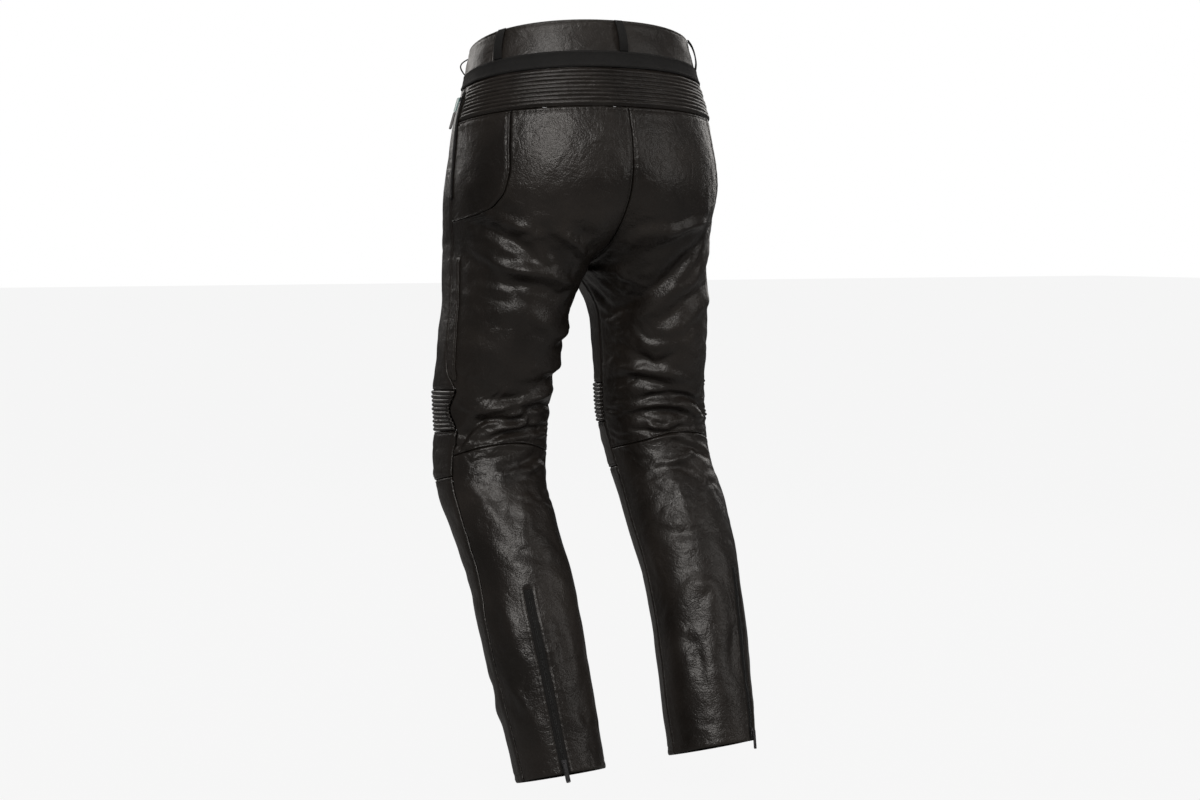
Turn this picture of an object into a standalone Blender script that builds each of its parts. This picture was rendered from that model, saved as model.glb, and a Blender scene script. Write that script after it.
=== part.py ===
"""Black leather motorcycle trousers, worn hollow, with the waist and both hems open.

X runs to the wearer's left, the back faces +Y, and the middle of the waist opening is the origin.
Every panel is a closed wall whose points come from one form. A leg is a stack of rounded rings, and
above the crotch the two legs run into each other, cut off at the middle plane. A place on the form
is (turn, down): turn is 0 at the back of a leg, 90 on its outer side, 180 in front and -90 or 270 on
its inner side, and down is the distance below the waist along the cloth. Lengths are millimetres
until a point becomes a vertex.
"""

import math
from collections import namedtuple
from functools import lru_cache

import bmesh
import bpy
from mathutils import Matrix, Vector

MM = 0.001
LEFT = 1
RIGHT = -1

# Walls and gaps.
LEATHER_WALL = 2.0
TEXTILE_WALL = 1.4
TAPE_WALL = 1.0
SEAM_GAP = 0.3
HALF_GAP = SEAM_GAP / 2

# Where the pieces start and end, down the cloth.
BAND_FOOT = 52
RIBS_FOOT = 110
CROTCH = 310
KNEE_RIBS_TOP = 475
KNEE_RIBS_FOOT = 532
CAP_FOOT = 598
HEM = 1010

# The right leg stands a little higher in its stride.
RIGHT_RISE = 5

# One row for each ring of the torso. cut is the turn past the back seam, where the middle plane
# cuts the ring off, and wide is half the width of the garment.
Torso = namedtuple("Torso", "down z centre_y tilt back front power cut centre_x wide")
TORSO = [
    Torso(0, 0, -4, 13, 114, 116, 2.15, 0, 0, 158),
    Torso(55, -55, 0, 11, 122, 118, 2.15, 0, 0, 172),
    Torso(105, -105, 0, 8, 138, 122, 2.15, 2, 4, 186),
    Torso(150, -150, 0, 4, 152, 126, 2.15, 6, 11, 192),
    Torso(195, -195, -4, 0, 157, 128, 2.15, 14, 25, 196),
    Torso(240, -240, -14, 0, 151, 126, 2.15, 28, 50, 193),
    Torso(275, -275, -21, 0, 139, 119, 2.15, 46, 75, 190),
    Torso(295, -295, -22, 0, 129, 112, 2.15, 66, 88, 191),
    Torso(CROTCH, -310, -22, 0, 123, 107, 2.15, 90, 96, 193),
]

# One row for each ring of the legs. x is the ring's centre and wide its half width.
Leg = namedtuple("Leg", "down z centre_y tilt back front power left_x left_wide right_x right_wide")
LEG = [
    Leg(355, -355, -19, 1, 108, 98, 2.15, 109, 88, 112, 81),
    Leg(415, -415, -19, 2, 97, 90, 2.15, 119, 85, 119, 77),
    Leg(470, -470, -24, 4, 88, 84, 2.15, 126, 81, 122, 76),
    Leg(525, -525, -26, 6, 80, 80, 2.15, 128, 78, 127, 77),
    Leg(565, -563, -22, 9, 76, 78, 2.15, 133, 78, 132, 74),
    Leg(610, -608, -5, 14, 73, 74, 2.15, 138, 75, 136, 72),
    Leg(665, -660, 27, 19, 72, 68, 2.1, 135, 72, 137, 73),
    Leg(735, -724, 66, 21, 70, 63, 2.1, 130, 69, 137, 71),
    Leg(810, -793, 100, 21, 68, 60, 2.1, 129, 69, 133, 68),
    Leg(885, -862, 127, 21, 66, 60, 2.1, 125, 65, 127, 65),
    Leg(950, -922, 150, 21, 65, 61, 2.1, 122, 63, 122, 65),
    Leg(HEM, -978, 171, 21, 65, 62, 2.1, 119, 61, 117, 60),
]

# Seams, as the turn at each distance down, or the distance down at each turn.
Place = namedtuple("Place", "at value")
OUTSEAM = [
    Place(BAND_FOOT, 91),
    Place(110, 91),
    Place(160, 90),
    Place(215, 88),
    Place(292, 87),
    Place(350, 86),
    Place(400, 83),
    Place(450, 77),
    Place(KNEE_RIBS_TOP, 64),
    Place(502, 72),
    Place(KNEE_RIBS_FOOT, 61),
    Place(570, 63),
    Place(610, 67),
    Place(700, 74),
    Place(825, 80),
    Place(HEM, 80),
]
HIP_FOOT = 242.7
HIP_SEAM_FOOT = 244
HIP_SEAM = [
    Place(RIBS_FOOT, 51),
    Place(150, 51),
    Place(190, 50),
    Place(215, 53),
    Place(230, 60),
    Place(238, 71),
    Place(HIP_SEAM_FOOT, 86),
]
BACK_KNEE_SEAM = [
    Place(-90, 574),
    Place(-45, 568),
    Place(-6, 558),
    Place(26, 560),
    Place(56, 568),
    Place(70, 572),
]

# Folds, as a soft ridge, or a trough where high is negative, through three places on the form.
Fold = namedtuple("Fold", "side turn_1 down_1 turn_2 down_2 turn_3 down_3 wide high")
FOLDS = [
    Fold(LEFT, 66, 246, 45, 262, 16, 294, 9, -6.0),
    Fold(LEFT, 72, 268, 52, 284, 22, 312, 11, 5.0),
    Fold(LEFT, 34, 258, 14, 276, -8, 298, 8, -5.0),
    Fold(LEFT, 14, 255, -8, 268, -30, 286, 8, -5.0),
    Fold(LEFT, 48, 304, 5, 312, -40, 334, 10, 4.0),
    Fold(LEFT, 62, 350, 20, 345, -30, 372, 13, -3.0),
    Fold(LEFT, -15, 400, -45, 398, -75, 385, 11, 3.0),
    Fold(LEFT, -10, 450, -45, 446, -75, 440, 10, 3.0),
    Fold(LEFT, 60, 500, 10, 508, -30, 486, 9, 5.0),
    Fold(LEFT, 55, 560, 30, 520, -10, 522, 8, -8.0),
    Fold(LEFT, 15, 530, -10, 521, -50, 530, 7, -5.0),
    Fold(LEFT, -10, 605, -35, 592, -60, 606, 9, 4.0),
    Fold(LEFT, 20, 625, -5, 640, -40, 618, 10, -3.0),
    Fold(RIGHT, -34, 275, 0, 256, 38, 244, 10, 5.0),
    Fold(RIGHT, -25, 290, 2, 272, 22, 258, 9, -5.0),
    Fold(RIGHT, 54, 234, 9, 298, -60, 366, 9, -7.0),
    Fold(RIGHT, 66, 262, 20, 320, -50, 392, 11, 5.0),
    Fold(RIGHT, -50, 415, -29, 446, -5, 433, 9, -4.0),
    Fold(RIGHT, -78, 475, -40, 468, -2, 492, 9, -5.0),
    Fold(RIGHT, -40, 502, 5, 497, 43, 526, 8, -6.0),
    Fold(RIGHT, -78, 532, -20, 519, 38, 548, 8, -6.0),
    Fold(RIGHT, -34, 534, -25, 548, 5, 540, 8, 4.0),
    Fold(RIGHT, -14, 570, 12, 583, 40, 606, 9, -5.0),
    Fold(RIGHT, -16, 606, 5, 626, 14, 650, 10, -4.0),
    Fold(LEFT, 215, 275, 180, 300, 140, 330, 12, -4.0),
    Fold(RIGHT, 215, 280, 182, 296, 142, 322, 12, -4.0),
    Fold(LEFT, 110, 380, 160, 395, 215, 380, 14, 3.0),
    Fold(RIGHT, 112, 392, 165, 402, 218, 388, 14, 3.0),
    Fold(LEFT, 100, 905, 150, 925, 200, 918, 12, 3.0),
    Fold(RIGHT, 100, 912, 150, 930, 205, 920, 12, 3.0),
]
FOLD_STEPS = 10

# Ribs of the stretch panels.
BACK_RIBS = 9
BACK_RIBS_TOP = 64
BACK_RIBS_FOOT = 108
BACK_RIB_HIGH = 1.8
KNEE_RIBS = 10
KNEE_RIB_HIGH = 2.2

# Zips. The leg zip runs down the calf to the hem, a little outside the back of each leg.
LEG_ZIP_TURN = {LEFT: 19, RIGHT: 32}
LEG_ZIP_TOP = 765
LEG_ZIP_WIDE = 13
POCKET_ZIP_ROWS = [68, 80, RIBS_FOOT, 132, 155, 178, 198, 213]
POCKET_ZIP_WIDE = 7
POCKET_ZIP_LIFT = 0.9

# Hardware, as (across, along, out) sizes.
SLIDER_SIZE = (7.0, 11.0, 2.6)
PULL_THICK = 1.6
SLIDER_CLEAR = 0.45
PULL_PIVOT_END = 0.6

Finish = namedtuple("Finish", "colour roughness metallic")
FINISHES = {
    "leather": Finish((0.030, 0.026, 0.023), 0.42, 0.0),
    "textile": Finish((0.014, 0.013, 0.013), 0.85, 0.0),
    "tape": Finish((0.010, 0.010, 0.010), 0.80, 0.0),
    "metal": Finish((0.035, 0.035, 0.038), 0.35, 0.9),
    "teal": Finish((0.095, 0.190, 0.190), 0.45, 0.0),
    "grey": Finish((0.130, 0.120, 0.125), 0.60, 0.0),
}

Ring = namedtuple("Ring", "down z centre_x centre_y tilt back front outer power cut")


def rings_of(side):
    """The rings of one half of the garment, from the waist to the hem."""
    rings = [
        Ring(t.down, t.z, t.centre_x, t.centre_y, t.tilt, t.back, t.front, t.wide - t.centre_x, t.power, t.cut)
        for t in TORSO
    ]
    for leg in LEG:
        centre_x, wide, rise = leg.left_x, leg.left_wide, 0.0
        if side == RIGHT:
            centre_x, wide = leg.right_x, leg.right_wide
            rise = RIGHT_RISE * (leg.down - CROTCH) / (HEM - CROTCH)
        rings.append(
            Ring(leg.down, leg.z + rise, centre_x, leg.centre_y, leg.tilt, leg.back, leg.front, wide, leg.power, 90)
        )
    return rings


def slopes_of(knots, values):
    """The slope at each knot, for a smooth curve through the values."""
    gaps = [b - a for a, b in zip(knots, knots[1:])]
    steps = [(b - a) / gap for a, b, gap in zip(values, values[1:], gaps)]
    inner = [
        (steps[i] * gaps[i + 1] + steps[i + 1] * gaps[i]) / (gaps[i] + gaps[i + 1])
        for i in range(len(gaps) - 1)
    ]
    return [steps[0], *inner, steps[-1]]


def curve_value(knots, values, slopes, place):
    """The smooth curve's value at a place, held at its ends."""
    place = min(max(place, knots[0]), knots[-1])
    at = max(i for i in range(len(knots) - 1) if knots[i] <= place)
    gap = knots[at + 1] - knots[at]
    t = (place - knots[at]) / gap
    return (
        (2 * t**3 - 3 * t**2 + 1) * values[at]
        + (t**3 - 2 * t**2 + t) * gap * slopes[at]
        + (3 * t**2 - 2 * t**3) * values[at + 1]
        + (t**3 - t**2) * gap * slopes[at + 1]
    )


RINGS = {side: rings_of(side) for side in (LEFT, RIGHT)}
RING_KNOTS = [ring.down for ring in RINGS[LEFT]]
RING_SLOPES = {
    side: [slopes_of(RING_KNOTS, column) for column in zip(*rings)] for side, rings in RINGS.items()
}


@lru_cache(maxsize=None)
def ring_at(side, down):
    """The ring at a distance down, between the rows of the tables."""
    columns = zip(*RINGS[side])
    return Ring(
        *(curve_value(RING_KNOTS, column, slopes, down) for column, slopes in zip(columns, RING_SLOPES[side]))
    )


def seam_value(seam, place):
    """The value of a seam's table at a place, on a smooth curve."""
    knots = [row.at for row in seam]
    values = [row.value for row in seam]
    return curve_value(knots, values, slopes_of(knots, values), place)


def reach_of(turn, power):
    """How far a ring of unit size reaches at a turn in radians."""
    return (abs(math.sin(turn)) ** power + abs(math.cos(turn)) ** power) ** (-1 / power)


def inner_radius(ring, down):
    """The radius towards the other leg. Above the crotch it puts the cut on the middle plane."""
    if down >= CROTCH or ring.cut < 0.5:
        return ring.outer
    cut = math.radians(ring.cut)
    return ring.centre_x / (math.sin(cut) * reach_of(cut, ring.power))


@lru_cache(maxsize=None)
def form_point(side, turn, down):
    """A point on the smooth form, before folds."""
    ring = ring_at(side, down)
    angle = math.radians(turn)
    across, depth = math.sin(angle), math.cos(angle)
    reach = reach_of(angle, ring.power)
    radius = ring.outer if across > 0 else inner_radius(ring, down)
    level = (ring.back if depth > 0 else ring.front) * depth * reach
    tilt = math.radians(ring.tilt)
    x = ring.centre_x + radius * across * reach
    return Vector((side * x, ring.centre_y + level * math.cos(tilt), ring.z + level * math.sin(tilt)))


def directions(side, turn, down):
    """The unit directions across, down and out of the cloth at a place."""
    across = form_point(side, turn + 1, down) - form_point(side, turn - 1, down)
    upper, lower = max(down - 3, 0), min(down + 3, HEM)
    along = form_point(side, turn, lower) - form_point(side, turn, upper)
    out = across.cross(along) if side == LEFT else along.cross(across)
    along = along.normalized()
    out.normalize()
    return along.cross(out).normalized(), along, out


def millimetres_per_degree(side, turn, down):
    """The width on the form of one degree of turn."""
    return (form_point(side, turn + 0.5, down) - form_point(side, turn - 0.5, down)).length


def fold_track(fold):
    """The places along a fold's curve, which passes through all three of its places."""
    bend_turn = 2 * fold.turn_2 - (fold.turn_1 + fold.turn_3) / 2
    bend_down = 2 * fold.down_2 - (fold.down_1 + fold.down_3) / 2
    track = []
    for step in range(FOLD_STEPS + 1):
        t = step / FOLD_STEPS
        first, middle, last = (1 - t) ** 2, 2 * t * (1 - t), t**2
        track.append(
            (
                first * fold.turn_1 + middle * bend_turn + last * fold.turn_3,
                first * fold.down_1 + middle * bend_down + last * fold.down_3,
            )
        )
    return track


FOLD_TRACKS = [(fold, fold_track(fold)) for fold in FOLDS]
FOLD_REACH = 3


def fold_height(side, turn, down):
    """How far the folds lift the cloth at a place. Nothing moves beside the middle seams and the hem."""
    width = millimetres_per_degree(side, turn, down)
    total = 0.0
    for fold, track in FOLD_TRACKS:
        downs = (fold.down_1, fold.down_2, fold.down_3)
        if fold.side != side or not min(downs) - 40 < down < max(downs) + 40:
            continue
        nearest, share = 1e9, 0.0
        for step, (start, end) in enumerate(zip(track, track[1:])):
            run_x, run_y = (end[0] - start[0]) * width, end[1] - start[1]
            to_x, to_y = (turn - start[0]) * width, down - start[1]
            along = min(max((to_x * run_x + to_y * run_y) / (run_x**2 + run_y**2), 0), 1)
            gap = math.hypot(to_x - along * run_x, to_y - along * run_y)
            if gap < nearest:
                nearest, share = gap, (step + along) / FOLD_STEPS
        if nearest < FOLD_REACH * fold.wide:
            fade = 0.25 + 0.75 * math.sin(math.pi * share)
            total += fold.high * fade * math.exp(-((nearest / fold.wide) ** 2))
    return total


def cloth_point(side, turn, down, lift=0.0, apart=True):
    """A point on the folded cloth, moved out by lift. With apart, it stays on its own side."""
    out = directions(side, turn, down)[2]
    point = form_point(side, turn, down) + out * (fold_height(side, turn, down) + lift)
    if apart and point.x * side < HALF_GAP:
        point.x = side * HALF_GAP
    return point


def round_place(angle, down):
    """The side and turn of an angle round the torso, from 0 at the back, positive to the left."""
    side = LEFT if 0 <= angle <= 180 else RIGHT
    share = (abs(angle) if abs(angle) <= 180 else 360 - abs(angle)) / 180
    cut = ring_at(side, down).cut
    return side, -cut + share * (180 + 2 * cut)


def blend(values, share):
    """The value at a share of the way along a list of evenly weighted stations."""
    place = share * (len(values) - 1)
    low = min(int(place + 1e-6), len(values) - 2)
    return values[low] + (values[low + 1] - values[low]) * (place - low)


def spread(start, end, steps):
    """Even stations from start to end."""
    return [start + (end - start) * step / steps for step in range(steps + 1)]


def make_material(name):
    """One finish as a Principled material of its own."""
    finish = FINISHES[name]
    material = bpy.data.materials.new(name)
    material.use_nodes = True
    shader = material.node_tree.nodes["Principled BSDF"]
    shader.inputs["Base Color"].default_value = (*finish.colour, 1)
    shader.inputs["Roughness"].default_value = finish.roughness
    shader.inputs["Metallic"].default_value = finish.metallic
    return material


class Workshop:
    """Puts each finished piece in the trousers' collection, with a material of its own."""

    def __init__(self):
        self.collection = bpy.data.collections.new("Motorcycle_Trousers")
        bpy.context.scene.collection.children.link(self.collection)

    def keep(self, name, mesh, finish):
        """A mesh as a named object of the collection."""
        mesh.materials.clear()
        mesh.materials.append(make_material(finish))
        piece = bpy.data.objects.new(name, mesh)
        self.collection.objects.link(piece)
        return piece

    def wall(self, name, columns, rows, outer, inner, finish, hole=None):
        """A closed wall on a grid of columns and rows, less the cells that hole names."""
        mesh = bmesh.new()
        bmesh.ops.create_grid(mesh, x_segments=columns, y_segments=rows, size=0.5)
        places = {
            vert: (round((vert.co.x + 0.5) * columns), round((vert.co.y + 0.5) * rows)) for vert in mesh.verts
        }
        if hole:
            cut = [
                face
                for face in mesh.faces
                if hole(min(places[v][0] for v in face.verts), min(places[v][1] for v in face.verts))
            ]
            bmesh.ops.delete(mesh, geom=cut, context="FACES")
            places = {vert: place for vert, place in places.items() if vert.is_valid}
        before = list(mesh.verts)
        made = bmesh.ops.extrude_face_region(mesh, geom=list(mesh.faces), use_keep_orig=True)
        lifted = [item for item in made["geom"] if isinstance(item, bmesh.types.BMVert)]
        spots = {(round(v.co.x, 5), round(v.co.y, 5)): places[v] for v in before}
        goal = {v: Vector(outer(*spots[(round(v.co.x, 5), round(v.co.y, 5))])) * MM for v in lifted}
        goal.update({v: Vector(inner(*places[v])) * MM for v in before})
        for vert, point in goal.items():
            vert.co = point
        bmesh.ops.recalc_face_normals(mesh, faces=list(mesh.faces))
        if mesh.calc_volume(signed=True) < 0:
            bmesh.ops.reverse_faces(mesh, faces=list(mesh.faces))
        bmesh.ops.triangulate(mesh, faces=list(mesh.faces), quad_method="SHORT_EDGE")
        data = bpy.data.meshes.new(name)
        mesh.to_mesh(data)
        mesh.free()
        return self.keep(name, data, finish)

    def panel(self, name, side, columns, rows, place, finish, raised=None, lift=0.0, wall=LEATHER_WALL, hole=None):
        """A cloth panel of one half: place gives (turn, down) of each column and row."""

        def outer(column, row):
            extra = raised(column, row) if raised else 0.0
            return cloth_point(side, *place(column, row), lift + wall + extra)

        def inner(column, row):
            return cloth_point(side, *place(column, row), lift)

        return self.wall(name, columns, rows, outer, inner, finish, hole)

    def band(self, name, angles, downs, finish, raised=None, lift=0.0, wall=LEATHER_WALL):
        """A piece that runs round the torso, across the middle seams where it needs to."""

        def at(column, row, out):
            side, turn = round_place(angles[column], downs[row])
            return cloth_point(side, turn, downs[row], out, apart=False)

        return self.wall(
            name,
            len(angles) - 1,
            len(downs) - 1,
            lambda column, row: at(column, row, lift + wall + (raised(column, row) if raised else 0.0)),
            lambda column, row: at(column, row, lift),
            finish,
        )


# The wall grows outwards from a place one wall inside the form, so the form is the outer face.
INSIDE = -LEATHER_WALL


def side_name(name, side):
    """A piece's name with the wearer's side."""
    return f"{name}_{'left' if side == LEFT else 'right'}"


def trimmed(side, turn, down, inward):
    """A turn moved off a seam by half the gap."""
    return turn + inward * HALF_GAP / millimetres_per_degree(side, turn, down)


def inner_edge_back(side, down):
    """The turn of the back's inner edge: the centre seam, and the inseam below the crotch."""
    cut = ring_at(side, down).cut if down < CROTCH else 90
    return trimmed(side, -cut, down, 1) if cut > 1 else 0


def inner_edge_front(side, down):
    """The turn of the front's inner edge."""
    cut = ring_at(side, down).cut if down < CROTCH else 90
    return trimmed(side, 180 + cut, down, -1)


# Rows shared by the panels that meet at the outseam.
TRUNK_ROWS = [
    *(RIBS_FOOT + HALF_GAP, 132, 155, 178, 198, 213, 224, 232, 237, 240, HIP_FOOT, HIP_SEAM_FOOT),
    *(256, 268, 280, 292, 304, 316, 332, 350, 370, 392, 414, 436, 456),
]
KNEE_ROWS = [*spread(KNEE_RIBS_TOP, KNEE_RIBS_FOOT, 6), 545]
CALF_ROWS = [590, 610, 630, 665, 700, 735, LEG_ZIP_TOP, 810, 860, 910, 960, HEM]
SEAM_STATIONS = [BAND_FOOT, *TRUNK_ROWS, *KNEE_ROWS, 566, *CALF_ROWS]


def straight_seam(seam, down):
    """The turn of a lengthwise seam, straight between the shared rows so that both its sides agree."""
    at = max(i for i in range(len(SEAM_STATIONS) - 1) if SEAM_STATIONS[i] <= down or i == 0)
    low, high = SEAM_STATIONS[at], SEAM_STATIONS[at + 1]
    share = (down - low) / (high - low)
    return seam_value(seam, low) * (1 - share) + seam_value(seam, high) * share


def outseam(down):
    """The turn of the outseam."""
    return straight_seam(OUTSEAM, down)


# Shares of the back's width at which its columns stand. The narrow one carries the leg zip.
BACK_INNER_COLUMNS = 7
BACK_OUTER_COLUMNS = 4
BACK_COLUMNS = BACK_INNER_COLUMNS + 1 + BACK_OUTER_COLUMNS


def zip_edges(side, down):
    """The turns of the leg zip's two edges."""
    half = LEG_ZIP_WIDE / 2 / millimetres_per_degree(side, LEG_ZIP_TURN[side], down)
    return LEG_ZIP_TURN[side] - half, LEG_ZIP_TURN[side] + half


def calf_turn(side, column, down):
    """The turn of a column of the calf, which keeps the zip's slot straight."""
    near, far = zip_edges(side, down)
    start = inner_edge_back(side, down)
    end = trimmed(side, outseam(down), down, -1)
    if column <= BACK_INNER_COLUMNS:
        return start + (near - start) * column / BACK_INNER_COLUMNS
    return far + (end - far) * (column - BACK_INNER_COLUMNS - 1) / BACK_OUTER_COLUMNS


def seam_shares(side):
    """The calf's columns at the back knee seam, as shares of its width, for the panel above."""
    down = BACK_KNEE_SEAM[2].value
    turns = [calf_turn(side, column, down) for column in range(BACK_COLUMNS + 1)]
    return [(turn - turns[0]) / (turns[-1] - turns[0]) for turn in turns]


def seat_edge(side, down):
    """The turn of the seat panel's outer edge: the hip seam, then the outseam."""
    turn = outseam(down)
    if down < HIP_SEAM[-1].at:
        turn = min(turn, straight_seam(HIP_SEAM, down))
    return trimmed(side, turn, down, -1)


FRONT_ROWS = [BAND_FOOT + HALF_GAP, 80, *TRUNK_ROWS, KNEE_RIBS_TOP - HALF_GAP]
HIP_ROWS = TRUNK_ROWS[: TRUNK_ROWS.index(HIP_SEAM_FOOT)]
SHIN_ROWS = [CAP_FOOT + HALF_GAP, *CALF_ROWS[1:]]
FRONT_COLUMNS = 9
KNEE_COLUMNS = 10
HIP_COLUMNS = 3


def seat(shop, side):
    """The back of one half, from the ribs to the seam behind the knee."""
    shares = seam_shares(side)
    rows = [*TRUNK_ROWS, *KNEE_ROWS, None]

    def place(column, row):
        down = rows[row]
        if down is None:
            turn = calf_turn(side, column, BACK_KNEE_SEAM[2].value)
            return turn, seam_value(BACK_KNEE_SEAM, turn) - HALF_GAP
        start, end = inner_edge_back(side, down), seat_edge(side, down)
        return start + (end - start) * shares[column], down

    shop.panel(side_name("seat", side), side, BACK_COLUMNS, len(rows) - 1, place, "leather", lift=INSIDE)


def hip(shop, side):
    """The small panel between the hip seam and the outseam."""

    def place(column, row):
        down = HIP_ROWS[row]
        start = trimmed(side, straight_seam(HIP_SEAM, down), down, 1)
        end = trimmed(side, outseam(down), down, -1)
        return start + (end - start) * column / HIP_COLUMNS, down

    shop.panel(side_name("hip", side), side, HIP_COLUMNS, len(HIP_ROWS) - 1, place, "leather", lift=INSIDE)


def front_part(shop, name, side, rows, columns, raised=None):
    """A panel of the front, from the outseam round to the front seam and the inseam."""

    def place(column, row):
        down = rows[row]
        start = trimmed(side, outseam(down), down, 1)
        end = inner_edge_front(side, down)
        return start + (end - start) * column / columns, down

    shop.panel(side_name(name, side), side, columns, len(rows) - 1, place, "leather", raised, INSIDE)


def rib_rows(top, foot, count):
    """Stations at the valleys and crests of a row of ribs."""
    return spread(top, foot, 2 * count)


def knee_ribs(shop, side):
    """The stretch panel above the knee, its ribs raised on the outside alone."""
    rows = rib_rows(KNEE_RIBS_TOP + HALF_GAP, KNEE_RIBS_FOOT - HALF_GAP, KNEE_RIBS)
    front_part(shop, "knee_ribs", side, rows, KNEE_COLUMNS, lambda column, row: KNEE_RIB_HIGH * (row % 2))


def calf(shop, side):
    """The back of the lower leg, open at the hem end where the zip is."""
    rows = [None, *CALF_ROWS]
    slot_row = rows.index(LEG_ZIP_TOP)

    def place(column, row):
        down = rows[row]
        if down is None:
            turn = calf_turn(side, column, BACK_KNEE_SEAM[2].value)
            return turn, seam_value(BACK_KNEE_SEAM, turn) + HALF_GAP
        return calf_turn(side, column, down), down

    def slot(column, row):
        return column == BACK_INNER_COLUMNS and row >= slot_row

    shop.panel(
        side_name("calf", side), side, BACK_COLUMNS, len(rows) - 1, place, "leather", lift=INSIDE, hole=slot
    )


def back_ribs(shop):
    """The ribbed stretch panel over the seat, from one outseam to the other."""
    half = [*BACK_RIBS_EDGE, *spread(RIBS_FULL, 0, 9)]
    angles = [-angle for angle in half[:-1]] + half[::-1]
    downs = [
        BAND_FOOT + HALF_GAP,
        *rib_rows(BACK_RIBS_TOP, BACK_RIBS_FOOT, BACK_RIBS),
        RIBS_FOOT - HALF_GAP,
    ]
    shop.band(
        "rib_panel_back",
        angles,
        downs,
        "leather",
        lambda column, row: (
            BACK_RIB_HIGH
            if row % 2 == 0 and 0 < row < len(downs) - 1 and abs(angles[column]) <= RIBS_FULL
            else 0.0
        ),
        INSIDE,
    )


# The back ribs run out short of the side edges, which lie flat.
BACK_RIBS_EDGE = (90.9, 89.3)
RIBS_FULL = 87.4
BAND_SIDE = 66
BAND_ROWS = [0, 17, 34, BAND_FOOT - HALF_GAP]
FLAP_SIDE = 101
FLAP_TOP = 41
FLAP_FOOT = 62
FRONT_MIDDLE_GAP = 0.12
ON_TOP = 0.6


def waistband(shop):
    """The leather band, in a back and two fronts."""
    shop.band("waistband_back", spread(-BAND_SIDE + 0.1, BAND_SIDE - 0.1, 18), BAND_ROWS, "leather", lift=INSIDE)
    front = spread(BAND_SIDE, 180 - FRONT_MIDDLE_GAP, 13)
    shop.band("waistband_front_left", front, BAND_ROWS, "leather", lift=INSIDE)
    shop.band("waistband_front_right", [-angle for angle in front], BAND_ROWS, "leather", lift=INSIDE)


def connector_flap(shop):
    """The textile flap that covers the jacket zip, over the band's lower edge."""
    shop.band(
        "connector_flap",
        spread(-FLAP_SIDE, FLAP_SIDE, 28),
        spread(FLAP_TOP, FLAP_FOOT, 2),
        "textile",
        lift=ON_TOP,
        wall=TEXTILE_WALL,
    )


LOOP_WIDE = 12
LOOP_TOP = 2
LOOP_FOOT = 40
LOOP_STAND = 3.0
LOOP_LEAN = 2
LOOPS = [
    ("belt_loop_centre", 0),
    ("belt_loop_side_left", 62),
    ("belt_loop_side_right", -62),
    ("belt_loop_front_left", 128),
    ("belt_loop_front_right", -128),
]


def belt_loop(shop, name, angle):
    """A textile loop sewn to the band at its ends and standing off it between them."""
    downs = spread(LOOP_TOP, LOOP_FOOT, 6)
    side, turn = round_place(angle, LOOP_TOP)
    half = LOOP_WIDE / 2 / millimetres_per_degree(side, turn, LOOP_TOP)
    stands = [ON_TOP + LOOP_STAND * math.sin(math.pi * row / 6) ** 0.5 for row in range(7)]

    def at(column, row, out):
        lean = LOOP_LEAN * half / LOOP_WIDE * row / 3
        place_side, place_turn = round_place(angle + (column - 1) * half - lean, downs[row])
        return cloth_point(place_side, place_turn, downs[row], stands[row] + out, apart=False)

    shop.wall(
        name,
        2,
        6,
        lambda column, row: at(column, row, TEXTILE_WALL),
        lambda column, row: at(column, row, 0.0),
        "textile",
    )


def strip(shop, name, side, line, wide, steps, finish, wall=TAPE_WALL, lift=ON_TOP):
    """A narrow strip of even width along a line of (turn, down) places."""
    turns = [place[0] for place in line]
    downs = [place[1] for place in line]

    def place(column, row):
        turn, down = blend(turns, row / steps), blend(downs, row / steps)
        return turn + (column - 0.5) * wide / millimetres_per_degree(side, turn, down), down

    shop.panel(side_name(name, side), side, 1, steps, place, finish, lift=lift, wall=wall)


WELT_LINE = [(79, 292), (73, 380), (66, 462)]
WELT_WIDE = 8
ZIP_SIDE_GAP = 0.35
LEG_ZIP_LIFT = -1.6


def zips(shop, side):
    """The tapes of the leg zip, the pocket zip and the vent zip of the thigh."""
    turn = LEG_ZIP_TURN[side]
    leg_wide = LEG_ZIP_WIDE - 2 * ZIP_SIDE_GAP
    line = [(turn, LEG_ZIP_TOP + ZIP_SIDE_GAP), (turn, HEM)]
    strip(shop, "calf_zip", side, line, leg_wide, 8, "tape", lift=LEG_ZIP_LIFT)
    pocket = [(outseam(down), down) for down in POCKET_ZIP_ROWS]
    strip(shop, "pocket_zip", side, pocket, POCKET_ZIP_WIDE, len(pocket) - 1, "tape", lift=POCKET_ZIP_LIFT)
    strip(shop, "thigh_welt", side, WELT_LINE, WELT_WIDE, 10, "tape")


FLY_ANGLES = [169.5, 173, 176.5, 179.6]
FLY_LIFT = 0.9
FLY_ROWS = [54, 80, 110, 132, 155, 178, 198]


def fly(shop):
    """The strip that covers the front zip, sewn on the left front."""
    shop.band("fly_flap", FLY_ANGLES, FLY_ROWS, "leather", lift=FLY_LIFT, wall=TEXTILE_WALL)


TAB_ANGLES = [170, 174, 178, 182, 186, 190]
TAB_TOP = 10
TAB_FOOT = 42
BUTTON_ANGLE = 185
BUTTON_DOWN = 26
BUTTON_RADIUS = 7.0
BUTTON_HIGH = 3.0


def frame_at(side, turn, down, lift):
    """The frame at a place on the cloth: across, up and out, with its origin moved out by lift."""
    across, along, out = directions(side, turn, down)
    point = cloth_point(side, turn, down, lift)
    up = -along
    right = up.cross(out)
    frame = Matrix((right, up, out)).transposed().to_4x4()
    frame.translation = point * MM
    return frame


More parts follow.
